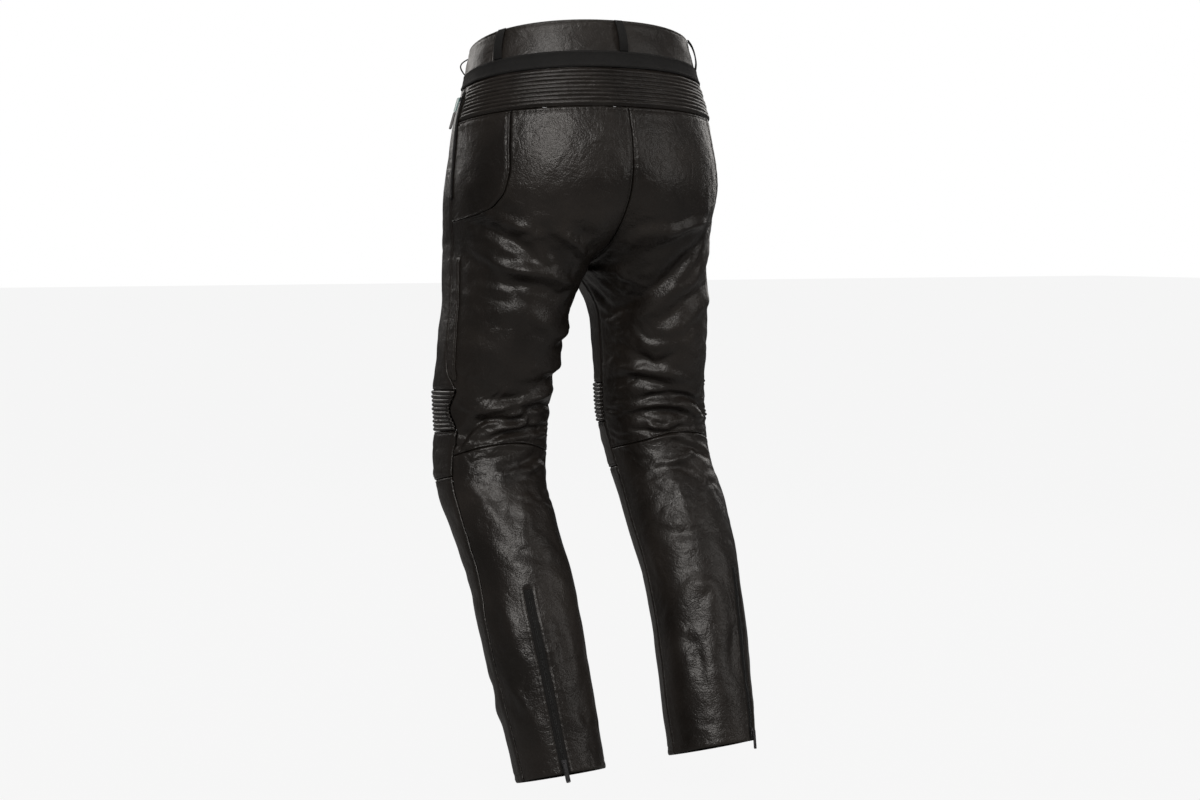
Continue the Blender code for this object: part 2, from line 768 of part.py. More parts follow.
def waist_closing(shop):
    """The tab over the front of the band and the snap button on it."""
    shop.band("waist_tab", TAB_ANGLES, [TAB_TOP, 26, TAB_FOOT], "leather", lift=ON_TOP, wall=TEXTILE_WALL)
    mesh = bpy.data.meshes.new("snap_button")
    rim = 1.2
    profile = [
        (0, BUTTON_HIGH),
        (BUTTON_RADIUS - rim, BUTTON_HIGH),
        (BUTTON_RADIUS, BUTTON_HIGH - rim),
        (BUTTON_RADIUS, 0),
        (0, 0),
    ]
    outline = bmesh.new()
    verts = [outline.verts.new((x * MM, 0, z * MM)) for x, z in profile]
    for start, end in zip(verts, verts[1:]):
        outline.edges.new((start, end))
    outline.to_mesh(mesh)
    outline.free()
    button = shop.keep("snap_button", mesh, "metal")
    turned = button.modifiers.new("Turned", "SCREW")
    turned.steps = turned.render_steps = 16
    turned.use_merge_vertices = True
    turned.merge_threshold = 0.00005
    side, turn = round_place(BUTTON_ANGLE, BUTTON_DOWN)
    button.matrix_world = frame_at(side, turn, BUTTON_DOWN, 2 * ON_TOP + TEXTILE_WALL)


BRACE_ANGLE = 106
BRACE_TOP = 14
BRACE_FOOT = 36
BRACE_THICK = 2.0
BRACE_STAND = 8.0
BRACE_SEAT = 0.4


def brace_loop(shop, side):
    """A small cord loop for braces, standing off the band."""
    path = []
    for step in range(9):
        share = step / 8
        down = BRACE_TOP + (BRACE_FOOT - BRACE_TOP) * share
        turn = round_place(BRACE_ANGLE, down)[1]
        stand = BRACE_THICK / 2 - BRACE_SEAT + BRACE_STAND * math.sin(math.pi * share)
        path.append(cloth_point(side, turn, down, stand) * MM)
    curve = bpy.data.curves.new(side_name("brace_loop", side), "CURVE")
    curve.dimensions = "3D"
    curve.bevel_depth = BRACE_THICK / 2 * MM
    curve.bevel_resolution = 1
    curve.use_fill_caps = True
    spline = curve.splines.new("POLY")
    spline.points.add(len(path) - 1)
    for point, place in zip(spline.points, path):
        point.co = (*place, 1)
    curve.materials.append(make_material("textile"))
    piece = bpy.data.objects.new(curve.name, curve)
    shop.collection.objects.link(piece)


def block(shop, name, frame, size, centre, finish, bevel):
    """A small bevelled block in a frame, its size and centre given in that frame."""
    bpy.ops.mesh.primitive_cube_add(size=1)
    cube = bpy.context.object
    mesh = cube.data
    mesh.transform(Matrix.Translation(Vector(centre) * MM) @ Matrix.Diagonal((*(s * MM for s in size), 1)))
    bpy.data.objects.remove(cube)
    piece = shop.keep(name, mesh, finish)
    rounded = piece.modifiers.new("Rounded", "BEVEL")
    rounded.width = bevel * MM
    rounded.segments = 2
    piece.matrix_world = frame
    return piece


# Each pull hangs from its slider: the tab lies over the slider, and turns about a line near its end.
Pull = namedtuple("Pull", "wide long start")
LEG_PULL = Pull(6.0, 26.0, 0.0)
POCKET_HEAD = Pull(9.0, 20.0, 0.0)
POCKET_GRIP = Pull(8.0, 24.0, 20.3)
PULL_FROM_SLIDER = 1.5


def pull_part(shop, name, frame, pull, finish):
    """One piece of a pull, hung below the pivot at the frame's origin."""
    size = (pull.wide, pull.long, PULL_THICK)
    centre = (0, PULL_PIVOT_END - pull.start - pull.long / 2, 0)
    return block(shop, name, frame, size, centre, finish, 0.5)


def slider_and_pull(shop, side, slider_name, turn, down, base, pulls):
    """A zip slider on its tape, and the pieces of its pull hung from it."""
    across, along, out = SLIDER_SIZE
    frame = frame_at(side, turn, down, base)
    block(shop, side_name(slider_name, side), frame, SLIDER_SIZE, (0, 0, out / 2), "metal", 0.6)
    pivot = frame @ Matrix.Translation(Vector((0, PULL_FROM_SLIDER, out + ON_TOP + PULL_THICK / 2)) * MM)
    for name, pull, finish in pulls:
        pull_part(shop, side_name(name, side), pivot, pull, finish)


LEG_SLIDER_DOWN = 998
POCKET_SLIDER_DOWN = 80


def hardware(shop, side):
    """The sliders and pulls of the leg zip and the pocket zip."""
    slider_and_pull(
        shop,
        side,
        "calf_slider",
        LEG_ZIP_TURN[side],
        LEG_SLIDER_DOWN,
        LEG_ZIP_LIFT + TAPE_WALL + SLIDER_CLEAR,
        [("calf_pull", LEG_PULL, "metal")],
    )
    slider_and_pull(
        shop,
        side,
        "pocket_slider",
        outseam(POCKET_SLIDER_DOWN),
        POCKET_SLIDER_DOWN,
        POCKET_ZIP_LIFT + TAPE_WALL + SLIDER_CLEAR,
        [("pocket_pull_head", POCKET_HEAD, "teal"), ("pocket_pull_grip", POCKET_GRIP, "grey")],
    )


def main():
    """Clears the scene and builds every piece."""
    for leftover in list(bpy.data.objects):
        bpy.data.objects.remove(leftover)
    shop = Workshop()
    waistband(shop)
    connector_flap(shop)
    back_ribs(shop)
    fly(shop)
    waist_closing(shop)
    for name, angle in LOOPS:
        belt_loop(shop, name, angle)
    for side in (LEFT, RIGHT):
        seat(shop, side)
        hip(shop, side)
        front_part(shop, "front", side, FRONT_ROWS, FRONT_COLUMNS)
        knee_ribs(shop, side)
        cap_rows = spread(KNEE_RIBS_FOOT + HALF_GAP, CAP_FOOT - HALF_GAP, 3)
        front_part(shop, "knee_cap", side, cap_rows, KNEE_COLUMNS)
        front_part(shop, "shin", side, SHIN_ROWS, FRONT_COLUMNS)
        calf(shop, side)
        zips(shop, side)
        brace_loop(shop, side)
        hardware(shop, side)


main()
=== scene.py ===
"""The looks of black leather motorcycle trousers, worn hollow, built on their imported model.

The cloth is cut on the same form as the solids. A place on it is (turn, down): turn is 0 at the back
of a leg, 90 on its outer side, 180 in front and -90 or 270 on its inner side, and down is the
distance below the waist along the cloth. Lengths are millimetres until they reach a mesh.
"""

import logging
import math
from collections.abc import Callable, Sequence
from dataclasses import dataclass, field
from enum import Enum
from typing import NamedTuple

import bmesh
import bpy
import numpy as np
from mathutils import Matrix, Vector


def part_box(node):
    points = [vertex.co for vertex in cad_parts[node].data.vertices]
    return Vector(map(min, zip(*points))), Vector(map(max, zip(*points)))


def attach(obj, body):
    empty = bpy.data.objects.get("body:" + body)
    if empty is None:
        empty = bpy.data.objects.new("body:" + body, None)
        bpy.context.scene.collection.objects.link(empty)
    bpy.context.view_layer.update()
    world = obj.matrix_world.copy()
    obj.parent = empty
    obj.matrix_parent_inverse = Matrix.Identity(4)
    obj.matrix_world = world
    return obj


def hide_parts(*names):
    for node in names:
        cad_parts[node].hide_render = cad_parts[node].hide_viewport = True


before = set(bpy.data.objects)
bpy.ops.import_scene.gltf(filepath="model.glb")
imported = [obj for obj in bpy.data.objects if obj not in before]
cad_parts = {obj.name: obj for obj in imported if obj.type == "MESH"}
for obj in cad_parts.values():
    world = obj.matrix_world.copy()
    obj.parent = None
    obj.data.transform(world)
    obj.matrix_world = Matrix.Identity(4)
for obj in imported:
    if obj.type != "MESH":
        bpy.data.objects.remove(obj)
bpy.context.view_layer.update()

MM = 0.001
LOG = logging.getLogger("trousers")

Array = np.ndarray
Edge = Callable[[Array], Array]


class Side(Enum):
    """A half of the garment, by the wearer's side."""

    LEFT = 1
    RIGHT = -1

    def name_of(self, piece: str) -> str:
        """A piece's name with its side."""
        return f"{piece}_{self.name.lower()}"


# Levels down the cloth.
BAND_FOOT = 52.0
RIBS_FOOT = 110.0
HIP_FOOT = 244.0
CROTCH = 310.0
KNEE_RIBS_TOP = 475.0
KNEE_RIBS_FOOT = 532.0
CAP_FOOT = 598.0
LEG_ZIP_TOP = 765.0
HEM = 1010.0
RIGHT_RISE = 5.0
SEAM_GAP = 0.3
HALF_GAP = SEAM_GAP / 2
LEATHER_WALL = 1.6


class TorsoRing(NamedTuple):
    """One ring above the crotch. Wide is the half width, from the middle plane."""

    down: float
    z: float
    centre_y: float
    tilt: float
    back: float
    front: float
    power: float
    cut: float
    centre_x: float
    wide: float


class LegRing(NamedTuple):
    """One ring of the legs. Wide is from the ring's own centre."""

    down: float
    z: float
    centre_y: float
    tilt: float
    back: float
    front: float
    power: float
    left_x: float
    left_wide: float
    right_x: float
    right_wide: float


TORSO = (
    TorsoRing(0, 0, -4, 13, 114, 116, 2.15, 0, 0, 158),
    TorsoRing(55, -55, 0, 11, 122, 118, 2.15, 0, 0, 172),
    TorsoRing(105, -105, 0, 8, 138, 122, 2.15, 2, 4, 186),
    TorsoRing(150, -150, 0, 4, 152, 126, 2.15, 6, 11, 192),
    TorsoRing(195, -195, -4, 0, 157, 128, 2.15, 14, 25, 196),
    TorsoRing(240, -240, -14, 0, 151, 126, 2.15, 28, 50, 193),
    TorsoRing(275, -275, -21, 0, 139, 119, 2.15, 46, 75, 190),
    TorsoRing(295, -295, -22, 0, 129, 112, 2.15, 66, 88, 191),
    TorsoRing(310, -310, -22, 0, 123, 107, 2.15, 90, 96, 193),
)
LEG = (
    LegRing(355, -355, -19, 1, 108, 98, 2.15, 109, 88, 112, 81),
    LegRing(415, -415, -19, 2, 97, 90, 2.15, 119, 85, 119, 77),
    LegRing(470, -470, -24, 4, 88, 84, 2.15, 126, 81, 122, 76),
    LegRing(525, -525, -26, 6, 80, 80, 2.15, 128, 78, 127, 77),
    LegRing(565, -563, -22, 9, 76, 78, 2.15, 133, 78, 132, 74),
    LegRing(610, -608, -5, 14, 73, 74, 2.15, 138, 75, 136, 72),
    LegRing(665, -660, 27, 19, 72, 68, 2.1, 135, 72, 137, 73),
    LegRing(735, -724, 66, 21, 70, 63, 2.1, 130, 69, 137, 71),
    LegRing(810, -793, 100, 21, 68, 60, 2.1, 129, 69, 133, 68),
    LegRing(885, -862, 127, 21, 66, 60, 2.1, 125, 65, 127, 65),
    LegRing(950, -922, 150, 21, 65, 61, 2.1, 122, 63, 122, 65),
    LegRing(1010, -978, 171, 21, 65, 62, 2.1, 119, 61, 117, 60),
)


@dataclass(frozen=True)
class Curve:
    """A smooth curve through its knots, held at its ends."""

    knots: Sequence[float]
    values: Sequence[float]

    def at(self, place: Array | float) -> Array:
        """The curve's value.

        Args:
            place: One place or an array of them.

        Returns:
            The values there.
        """
        knots, values = np.asarray(self.knots, float), np.asarray(self.values, float)
        gaps = np.diff(knots)
        steps = np.diff(values) / gaps
        inner = (steps[:-1] * gaps[1:] + steps[1:] * gaps[:-1]) / (gaps[:-1] + gaps[1:])
        slopes = np.concatenate([steps[:1], inner, steps[-1:]])
        place = np.clip(place, knots[0], knots[-1])
        low = np.clip(np.searchsorted(knots, place, side="right") - 1, 0, len(gaps) - 1)
        t = (place - knots[low]) / gaps[low]
        return (
            (2 * t**3 - 3 * t**2 + 1) * values[low]
            + (t**3 - 2 * t**2 + t) * gaps[low] * slopes[low]
            + (3 * t**2 - 2 * t**3) * values[low + 1]
            + (t**3 - t**2) * gaps[low] * slopes[low + 1]
        )


OUTSEAM = Curve(
    (52, 110, 160, 215, 292, 350, 400, 450, 475, 502, 532, 570, 610, 700, 825, 1010),
    (91, 91, 90, 88, 87, 86, 83, 77, 64, 72, 61, 63, 67, 74, 80, 80),
)
HIP_SEAM = Curve((110, 150, 190, 215, 230, 238, 244), (51, 51, 50, 53, 60, 71, 86))
BACK_KNEE_SEAM = Curve((-90, -45, -6, 26, 56, 70), (574, 568, 558, 560, 568, 572))
WELT_LINE = Curve((292, 380, 462), (79, 73, 66))
LEG_ZIP_TURN = {Side.LEFT: 19.0, Side.RIGHT: 32.0}
LEG_ZIP_WIDE = 13.0


class Form:
    """The smooth form of the trousers, the same as the solids' outer face."""

    def __init__(self) -> None:
        """Reads the ring tables of both halves."""
        self.curves = {side: self.read(side) for side in Side}

    def read(self, side: Side) -> dict[str, Curve]:
        """The ring values of one half as curves over down."""
        downs = [ring.down for ring in (*TORSO, *LEG)]
        columns = {
            name: [getattr(ring, name) for ring in (*TORSO, *LEG)]
            for name in ("z", "centre_y", "tilt", "back", "front", "power")
        }
        left = side is Side.LEFT
        columns["centre_x"] = [ring.centre_x for ring in TORSO]
        columns["centre_x"] += [ring.left_x if left else ring.right_x for ring in LEG]
        columns["outer"] = [ring.wide - ring.centre_x for ring in TORSO]
        columns["outer"] += [ring.left_wide if left else ring.right_wide for ring in LEG]
        columns["cut"] = [ring.cut for ring in TORSO] + [90.0] * len(LEG)
        if not left:
            rises = [max(0.0, RIGHT_RISE * (down - CROTCH) / (HEM - CROTCH)) for down in downs]
            columns["z"] = [z + rise for z, rise in zip(columns["z"], rises)]
        return {name: Curve(downs, values) for name, values in columns.items()}

    def cut(self, side: Side, down: Array) -> Array:
        """The turn at which a half meets the middle plane, or 90 below the crotch."""
        return np.where(np.asarray(down) < CROTCH, self.curves[side]["cut"].at(down), 90.0)

    def point(self, side: Side, turn: Array, down: Array) -> Array:
        """Points on the form.

        Args:
            side: The half.
            turn: Turns in degrees.
            down: Distances below the waist.

        Returns:
            The points, with x, y and z along the last axis.
        """
        turn, down = np.broadcast_arrays(np.asarray(turn, float), np.asarray(down, float))
        ring = {name: curve.at(down) for name, curve in self.curves[side].items()}
        angle = np.radians(turn)
        across, depth, power = np.sin(angle), np.cos(angle), ring["power"]
        reach = (np.abs(across) ** power + np.abs(depth) ** power) ** (-1 / power)
        cut = np.radians(ring["cut"])
        side_of_cut = np.abs(np.sin(cut)) ** power + np.abs(np.cos(cut)) ** power
        to_middle = ring["centre_x"] / np.maximum(np.sin(cut) * side_of_cut ** (-1 / power), 1e-6)
        whole = (down >= CROTCH) | (ring["cut"] < 0.5)
        radius = np.where((across > 0) | whole, ring["outer"], to_middle)
        level = np.where(depth > 0, ring["back"], ring["front"]) * depth * reach
        tilt = np.radians(ring["tilt"])
        x = ring["centre_x"] + radius * across * reach
        return np.stack(
            [side.value * x, ring["centre_y"] + level * np.cos(tilt), ring["z"] + level * np.sin(tilt)], -1
        )

    def axes(self, side: Side, turn: Array, down: Array) -> tuple[Array, Array, Array]:
        """The unit directions across, down and out of the cloth."""
        turn, down = np.broadcast_arrays(np.asarray(turn, float), np.asarray(down, float))
        across = self.point(side, turn + 1, down) - self.point(side, turn - 1, down)
        upper, lower = np.maximum(down - 3, 0), np.minimum(down + 3, HEM)
        along = self.point(side, turn, lower) - self.point(side, turn, upper)
        out = np.cross(across, along) * side.value
        along = along / np.linalg.norm(along, axis=-1, keepdims=True)
        out = out / np.linalg.norm(out, axis=-1, keepdims=True)
        return np.cross(along, out), along, out

    def degree(self, side: Side, turn: Array, down: Array) -> Array:
        """The width of one degree of turn."""
        step = self.point(side, turn + 0.5, down) - self.point(side, turn - 0.5, down)
        return np.linalg.norm(step, axis=-1)

    def inner_back(self, side: Side) -> Edge:
        """The turn of the back's inner edge, at the middle seam and then the inseam."""
        return lambda down: self.trim(side, -self.cut(side, down), down, 1)

    def inner_front(self, side: Side) -> Edge:
        """The turn of the front's inner edge."""
        return lambda down: self.trim(side, 180 + self.cut(side, down), down, -1)

    def trim(self, side: Side, turn: Array, down: Array, inward: int) -> Array:
        """A turn moved off a seam by half its gap."""
        return turn + inward * HALF_GAP / np.maximum(self.degree(side, turn, down), 0.3)


class Crease(NamedTuple):
    """A fold placed one by one: its track of (turn, down) places, its width and height, and its steeper side.
    """

    side: Side
    wide: float
    high: float
    lean: float
    track: tuple[tuple[float, float], ...]


L, R = Side.LEFT, Side.RIGHT
CREASES = (
    Crease(L, 8, -5.5, 0.5, ((70, 246), (52, 258), (34, 276), (16, 294))),
    Crease(L, 7, 4.5, -0.3, ((64, 232), (44, 246), (26, 264), (8, 284))),
    Crease(L, 7, -4.5, 0.4, ((38, 260), (28, 262), (12, 280), (-6, 298))),
    Crease(L, 6, 3.6, 0.3, ((24, 252), (10, 262), (-10, 276), (-24, 290))),
    Crease(L, 7, -4.6, 0.4, ((16, 255), (4, 260), (-16, 276), (-34, 288))),
    Crease(L, 9, 4.2, 0.5, ((74, 268), (58, 284), (40, 300), (20, 312), (-10, 316))),
    Crease(L, 8, 4.8, -0.4, ((50, 303), (15, 309), (-15, 322), (-42, 334))),
    Crease(L, 8, -3.6, 0.2, ((66, 318), (34, 326), (0, 336), (-30, 352))),
    Crease(L, 10, -2.6, 0.0, ((62, 352), (24, 345), (-10, 356), (-36, 376))),
    Crease(L, 11, 2.4, 0.2, ((58, 372), (20, 368), (-14, 384), (-46, 394))),
    Crease(L, 8, 3.4, 0.2, ((-16, 402), (-40, 398), (-62, 388), (-78, 380))),
    Crease(L, 7, -2.8, 0.0, ((-10, 424), (-36, 420), (-64, 408), (-80, 402))),
    Crease(L, 8, 3.6, 0.2, ((-4, 446), (-34, 450), (-60, 442), (-80, 434))),
    Crease(L, 7, -3.0, 0.0, ((12, 470), (-20, 470), (-52, 462), (-80, 458))),
    Crease(L, 9, 4.6, 0.5, ((60, 498), (34, 508), (12, 511), (-9, 500), (-30, 486), (-62, 480))),
    Crease(L, 6, -4.2, 0.3, ((40, 484), (16, 492), (-8, 484), (-36, 474))),
    Crease(L, 6, -6.2, 0.6, ((57, 562), (47, 536), (34, 520), (18, 517), (-8, 522))),
    Crease(L, 5, 3.8, 0.0, ((14, 512), (-4, 513), (-10, 521), (-2, 530), (14, 533), (34, 551))),
    Crease(L, 6, -4.6, -0.4, ((34, 554), (18, 543), (-8, 538), (-54, 530))),
    Crease(L, 5, -4.0, 0.3, ((14, 512), (-1, 505), (-43, 501), (-66, 506))),
    Crease(L, 5, 3.0, 0.2, ((24, 556), (4, 549), (-24, 546), (-58, 546))),
    Crease(L, 7, 4.2, 0.4, ((-12, 606), (-24, 598), (-36, 594), (-54, 606))),
    Crease(L, 7, -3.2, 0.2, ((16, 596), (-10, 590), (-34, 580), (-58, 586))),
    Crease(L, 10, 2.6, 0.0, ((-12, 616), (-7, 640), (-2, 668), (2, 694))),
    Crease(L, 10, -2.4, 0.3, ((34, 606), (26, 640), (18, 676))),
    Crease(L, 9, -2.2, 0.0, ((40, 690), (22, 712), (-4, 728), (-30, 730))),
    Crease(L, 9, 1.9, 0.0, ((54, 760), (46, 812), (42, 870))),
    Crease(L, 8, -1.9, 0.2, ((2, 800), (-6, 846), (-4, 900))),
    Crease(L, 8, 2.0, 0.0, ((66, 880), (52, 910), (40, 950))),
    Crease(L, 7, -1.8, 0.0, ((-14, 930), (-30, 948), (-56, 952))),
    Crease(R, 8, 4.4, 0.4, ((-36, 276), (-16, 260), (6, 254), (38, 243))),
    Crease(R, 7, -4.6, 0.4, ((-24, 290), (2, 272), (22, 257), (40, 252))),
    Crease(R, 8, -6.6, 0.6, ((54, 233), (34, 264), (9, 297), (-13, 326), (-45, 354), (-82, 382))),
    Crease(R, 9, 5.0, -0.3, ((62, 256), (40, 290), (16, 320), (-10, 344), (-42, 376), (-70, 396))),
    Crease(R, 7, -3.4, 0.2, ((-86, 326), (-78, 346), (-69, 366))),
    Crease(R, 8, -3.4, 0.0, ((60, 316), (34, 336), (4, 358), (-28, 388))),
    Crease(R, 9, 2.8, 0.2, ((56, 350), (30, 366), (0, 390), (-28, 412))),
    Crease(R, 7, -4.0, 0.3, ((-52, 414), (-40, 436), (-28, 449), (-14, 440), (-4, 431))),
    Crease(R, 8, 3.0, 0.2, ((-60, 400), (-40, 418), (-20, 420), (2, 410))),
    Crease(R, 7, -4.4, 0.3, ((-80, 474), (-58, 467), (-26, 475), (-3, 491))),
    Crease(R, 7, 3.6, 0.2, ((-70, 456), (-40, 454), (-10, 464), (20, 478))),
    Crease(R, 6, -5.2, 0.4, ((-42, 500), (-14, 497), (15, 501), (40, 518), (44, 542))),
    Crease(R, 7, 4.2, 0.2, ((-60, 512), (-30, 508), (10, 510), (30, 524), (38, 540))),
    Crease(R, 6, -5.4, 0.5, ((-80, 533), (-35, 520), (-14, 519), (9, 527), (38, 549))),
    Crease(R, 5, 3.6, 0.0, ((-33, 532), (-29, 545), (-16, 548), (2, 540))),
    Crease(R, 5, -3.4, 0.2, ((30, 556), (8, 548), (-20, 556), (-56, 548))),
    Crease(R, 6, -4.4, 0.4, ((-13, 568), (-8, 572), (11, 582), (34, 595), (40, 606))),
    Crease(R, 6, 3.2, 0.2, ((8, 584), (10, 592), (-14, 602), (-40, 600))),
    Crease(R, 8, -3.4, 0.3, ((-16, 607), (-4, 616), (6, 628), (12, 652))),
    Crease(R, 11, 2.8, 0.2, ((-30, 620), (-18, 650), (-14, 690))),
    Crease(R, 9, -2.2, 0.0, ((-60, 700), (-30, 712), (4, 706))),
    Crease(R, 13, 3.0, 0.2, ((-66, 815), (-40, 795), (-22, 785), (-5, 798), (-14, 848), (-9, 940))),
    Crease(R, 9, -2.4, 0.2, ((-50, 850), (-36, 880), (-34, 930))),
    Crease(R, 8, -2.0, 0.0, ((14, 820), (16, 860), (10, 910))),
    Crease(L, 11, -3.6, 0.2, ((232, 262), (205, 284), (176, 304), (140, 330))),
    Crease(R, 11, -3.6, 0.2, ((232, 268), (206, 282), (178, 298), (142, 322))),
    Crease(L, 8, -3.2, 0.0, ((226, 292), (200, 314), (168, 336))),
    Crease(R, 8, -3.0, 0.0, ((228, 298), (202, 312), (166, 340))),
    Crease(L, 13, 2.8, 0.2, ((110, 380), (160, 395), (215, 380))),
    Crease(R, 13, 2.8, 0.2, ((112, 392), (165, 402), (218, 388))),
    Crease(L, 12, -2.4, 0.2, ((104, 436), (150, 446), (214, 432))),
    Crease(R, 12, -2.4, 0.2, ((100, 442), (154, 450), (216, 440))),
    Crease(L, 11, 2.8, 0.2, ((100, 905), (150, 925), (200, 918))),
    Crease(R, 11, 2.8, 0.2, ((100, 912), (150, 930), (205, 920))),
    Crease(L, 10, -2.4, 0.2, ((94, 872), (146, 888), (210, 876))),
    Crease(R, 10, -2.4, 0.2, ((92, 880), (150, 896), (214, 884))),
    Crease(L, 11, -2.4, 0.0, ((110, 640), (170, 652), (230, 640))),
    Crease(R, 11, -2.4, 0.0, ((112, 648), (172, 656), (232, 646))),
)


class WrinkleZone(NamedTuple):
    """A region of small seeded wrinkles, the same on both halves but for their places."""

    turn_from: float
    turn_to: float
    down_from: float
    down_to: float
    slant: float
    scatter: float
    count: int
    long: float
    wide: float
    high: float


ZONES = (
    WrinkleZone(-80, 56, 484, 560, 0.0, 0.35, 44, 52, 3.2, 1.5),
    WrinkleZone(-70, 56, 574, 650, 0.1, 0.5, 22, 44, 4.2, 1.1),
    WrinkleZone(-60, 70, 236, 350, -0.55, 0.4, 30, 60, 4.6, 1.3),
    WrinkleZone(-88, -36, 316, 480, 0.25, 0.5, 30, 44, 4.4, 1.4),
    WrinkleZone(-30, 76, 340, 478, -0.1, 0.7, 24, 64, 6.5, 0.9),
    WrinkleZone(-80, 76, 640, 990, 0.9, 0.9, 34, 60, 7.0, 0.7),
    WrinkleZone(-40, 76, 118, 232, 0.5, 1.2, 18, 60, 8.0, 0.5),
    WrinkleZone(104, 250, 250, 360, 0.45, 0.6, 30, 60, 5.0, 1.2),
    WrinkleZone(80, 240, 536, 592, 0.0, 0.5, 16, 50, 4.5, 1.1),
    WrinkleZone(74, 250, 600, 990, 0.1, 0.8, 40, 70, 7.0, 0.9),
    WrinkleZone(88, 240, 360, 472, 0.1, 0.8, 24, 70, 7.0, 0.8),
    WrinkleZone(96, 180, 120, 250, 0.4, 0.9, 14, 60, 7.0, 0.6),
)


class Relief:
    """How far the leather stands off the smooth form, from its folds, wrinkles and slack."""

    STILL_RADIUS = 26.0
    MIDDLE_FADE = 14.0
    WAIST_FADE = (112.0, 190.0)

    def __init__(self, form: Form) -> None:
        """Draws the seeded wrinkles of both halves.

        Args:
            form: The form that the folds lie on.
        """
        self.form = form
        self.creases = list(CREASES)
        random = np.random.default_rng(52)
        for side in Side:
            for zone in ZONES:
                self.creases += [self.wrinkle(side, zone, random) for _ in range(zone.count)]
        self.waves = {
            side: (random.normal(size=(30, 3)), random.uniform(0, math.tau, 30)) for side in Side
        }

    def wrinkle(self, side: Side, zone: WrinkleZone, random: np.random.Generator) -> Crease:
        """One seeded wrinkle.

        Args:
            side: The half it lies on.
            zone: The region it is drawn in.
            random: The seeded generator.

        Returns:
            The wrinkle as a crease.
        """
        turn = random.uniform(zone.turn_from, zone.turn_to)
        down = random.uniform(zone.down_from, zone.down_to)
        degree = float(self.form.degree(side, turn, down))
        angle = zone.slant + random.normal(0, zone.scatter)
        half = zone.long / 2 * random.uniform(0.5, 1.3)
        bow = random.normal(0, 0.14) * half
        step_turn, step_down = half * math.cos(angle) / degree, half * math.sin(angle)
        track = (
            (turn - step_turn, down - step_down),
            (turn, down + bow),
            (turn + step_turn, down + step_down),
        )
        high = zone.high * random.uniform(0.35, 1.0) * (-1 if random.uniform() < 0.62 else 1)
        return Crease(side, zone.wide * random.uniform(0.6, 1.3), high, random.uniform(-0.4, 0.4), track)

    def crease_height(self, crease: Crease, turn: Array, down: Array) -> Array:
        """The height that one crease gives to places near it.

        Args:
            crease: The crease.
            turn: Turns of the places.
            down: Distances below the waist.

        Returns:
            The heights, positive outwards.
        """
        turns, downs = (np.array(values, float) for values in zip(*crease.track))
        knots = np.arange(len(turns))
        at = np.linspace(0, len(turns) - 1, 6 * (len(turns) - 1) + 1)
        degree = float(self.form.degree(crease.side, turns.mean(), downs.mean()))
        track_x, track_y = Curve(knots, turns).at(at) * degree, Curve(knots, downs).at(at)
        x, y = turn * degree, down
        nearest = np.full(x.shape, 1e9)
        signed, share = np.zeros(x.shape), np.zeros(x.shape)
        for step in range(len(track_x) - 1):
            run_x, run_y = track_x[step + 1] - track_x[step], track_y[step + 1] - track_y[step]
            long = math.hypot(run_x, run_y) or 1.0
            to_x, to_y = x - track_x[step], y - track_y[step]
            along = np.clip((to_x * run_x + to_y * run_y) / long**2, 0, 1)
            gap = np.hypot(to_x - along * run_x, to_y - along * run_y)
            closer = gap < nearest
            nearest = np.where(closer, gap, nearest)
            signed = np.where(closer, np.sign(run_x * to_y - run_y * to_x) * gap, signed)
            share = np.where(closer, (step + along) / (len(track_x) - 1), share)
        flank = crease.wide * (1 + crease.lean * 0.7 * np.tanh(signed / crease.wide))
        core = np.exp(-((nearest / flank) ** 2))
        shoulder = np.exp(-(((nearest - 2.1 * flank) / (1.1 * flank)) ** 2))
        uneven = 1 + 0.22 * np.sin(share * 11 + turns[0]) + 0.12 * np.sin(share * 23 + downs[0])
        taper = np.sin(math.pi * np.clip(share, 0, 1)) ** 0.7
        return crease.high * taper * uneven * (core - 0.34 * shoulder)

    def height(self, side: Side, turn: Array, down: Array) -> Array:
        """The whole height at places of one half.

        Args:
            side: The half.
            turn: Turns of the places.
            down: Distances below the waist.

        Returns:
            The heights, positive outwards.
        """
        turn, down = (np.array(values, float) for values in np.broadcast_arrays(turn, down))
        shape = turn.shape
        turn, down = turn.ravel(), down.ravel()
        total = self.slack(side, turn, down)
        for crease in self.creases:
            if crease.side is not side:
                continue
            reach = 4.2 * crease.wide
            turns, downs = zip(*crease.track)
            room = reach / 1.2
            near = (down > min(downs) - reach) & (down < max(downs) + reach)
            near &= (turn > min(turns) - room) & (turn < max(turns) + room)
            if near.any():
                total[near] += self.crease_height(crease, turn[near], down[near])
        return (total * self.freedom(side, turn, down)).reshape(shape)

    def slack(self, side: Side, turn: Array, down: Array) -> Array:
        """The broad and the fine unevenness of worn leather."""
        points = self.form.point(side, turn, down)
        frequencies, phases = self.waves[side]
        total = np.zeros(turn.shape)
        for index, (wave, phase) in enumerate(zip(frequencies, phases)):
            broad = index < 12
            size = 0.018 if broad else 0.055
            high = 0.42 if broad else 0.13
            warp = 0.8 * np.sin(points @ wave[::-1] * size * 0.6)
            total += high * np.sin(points @ (wave * size) + phase + warp)
        return total

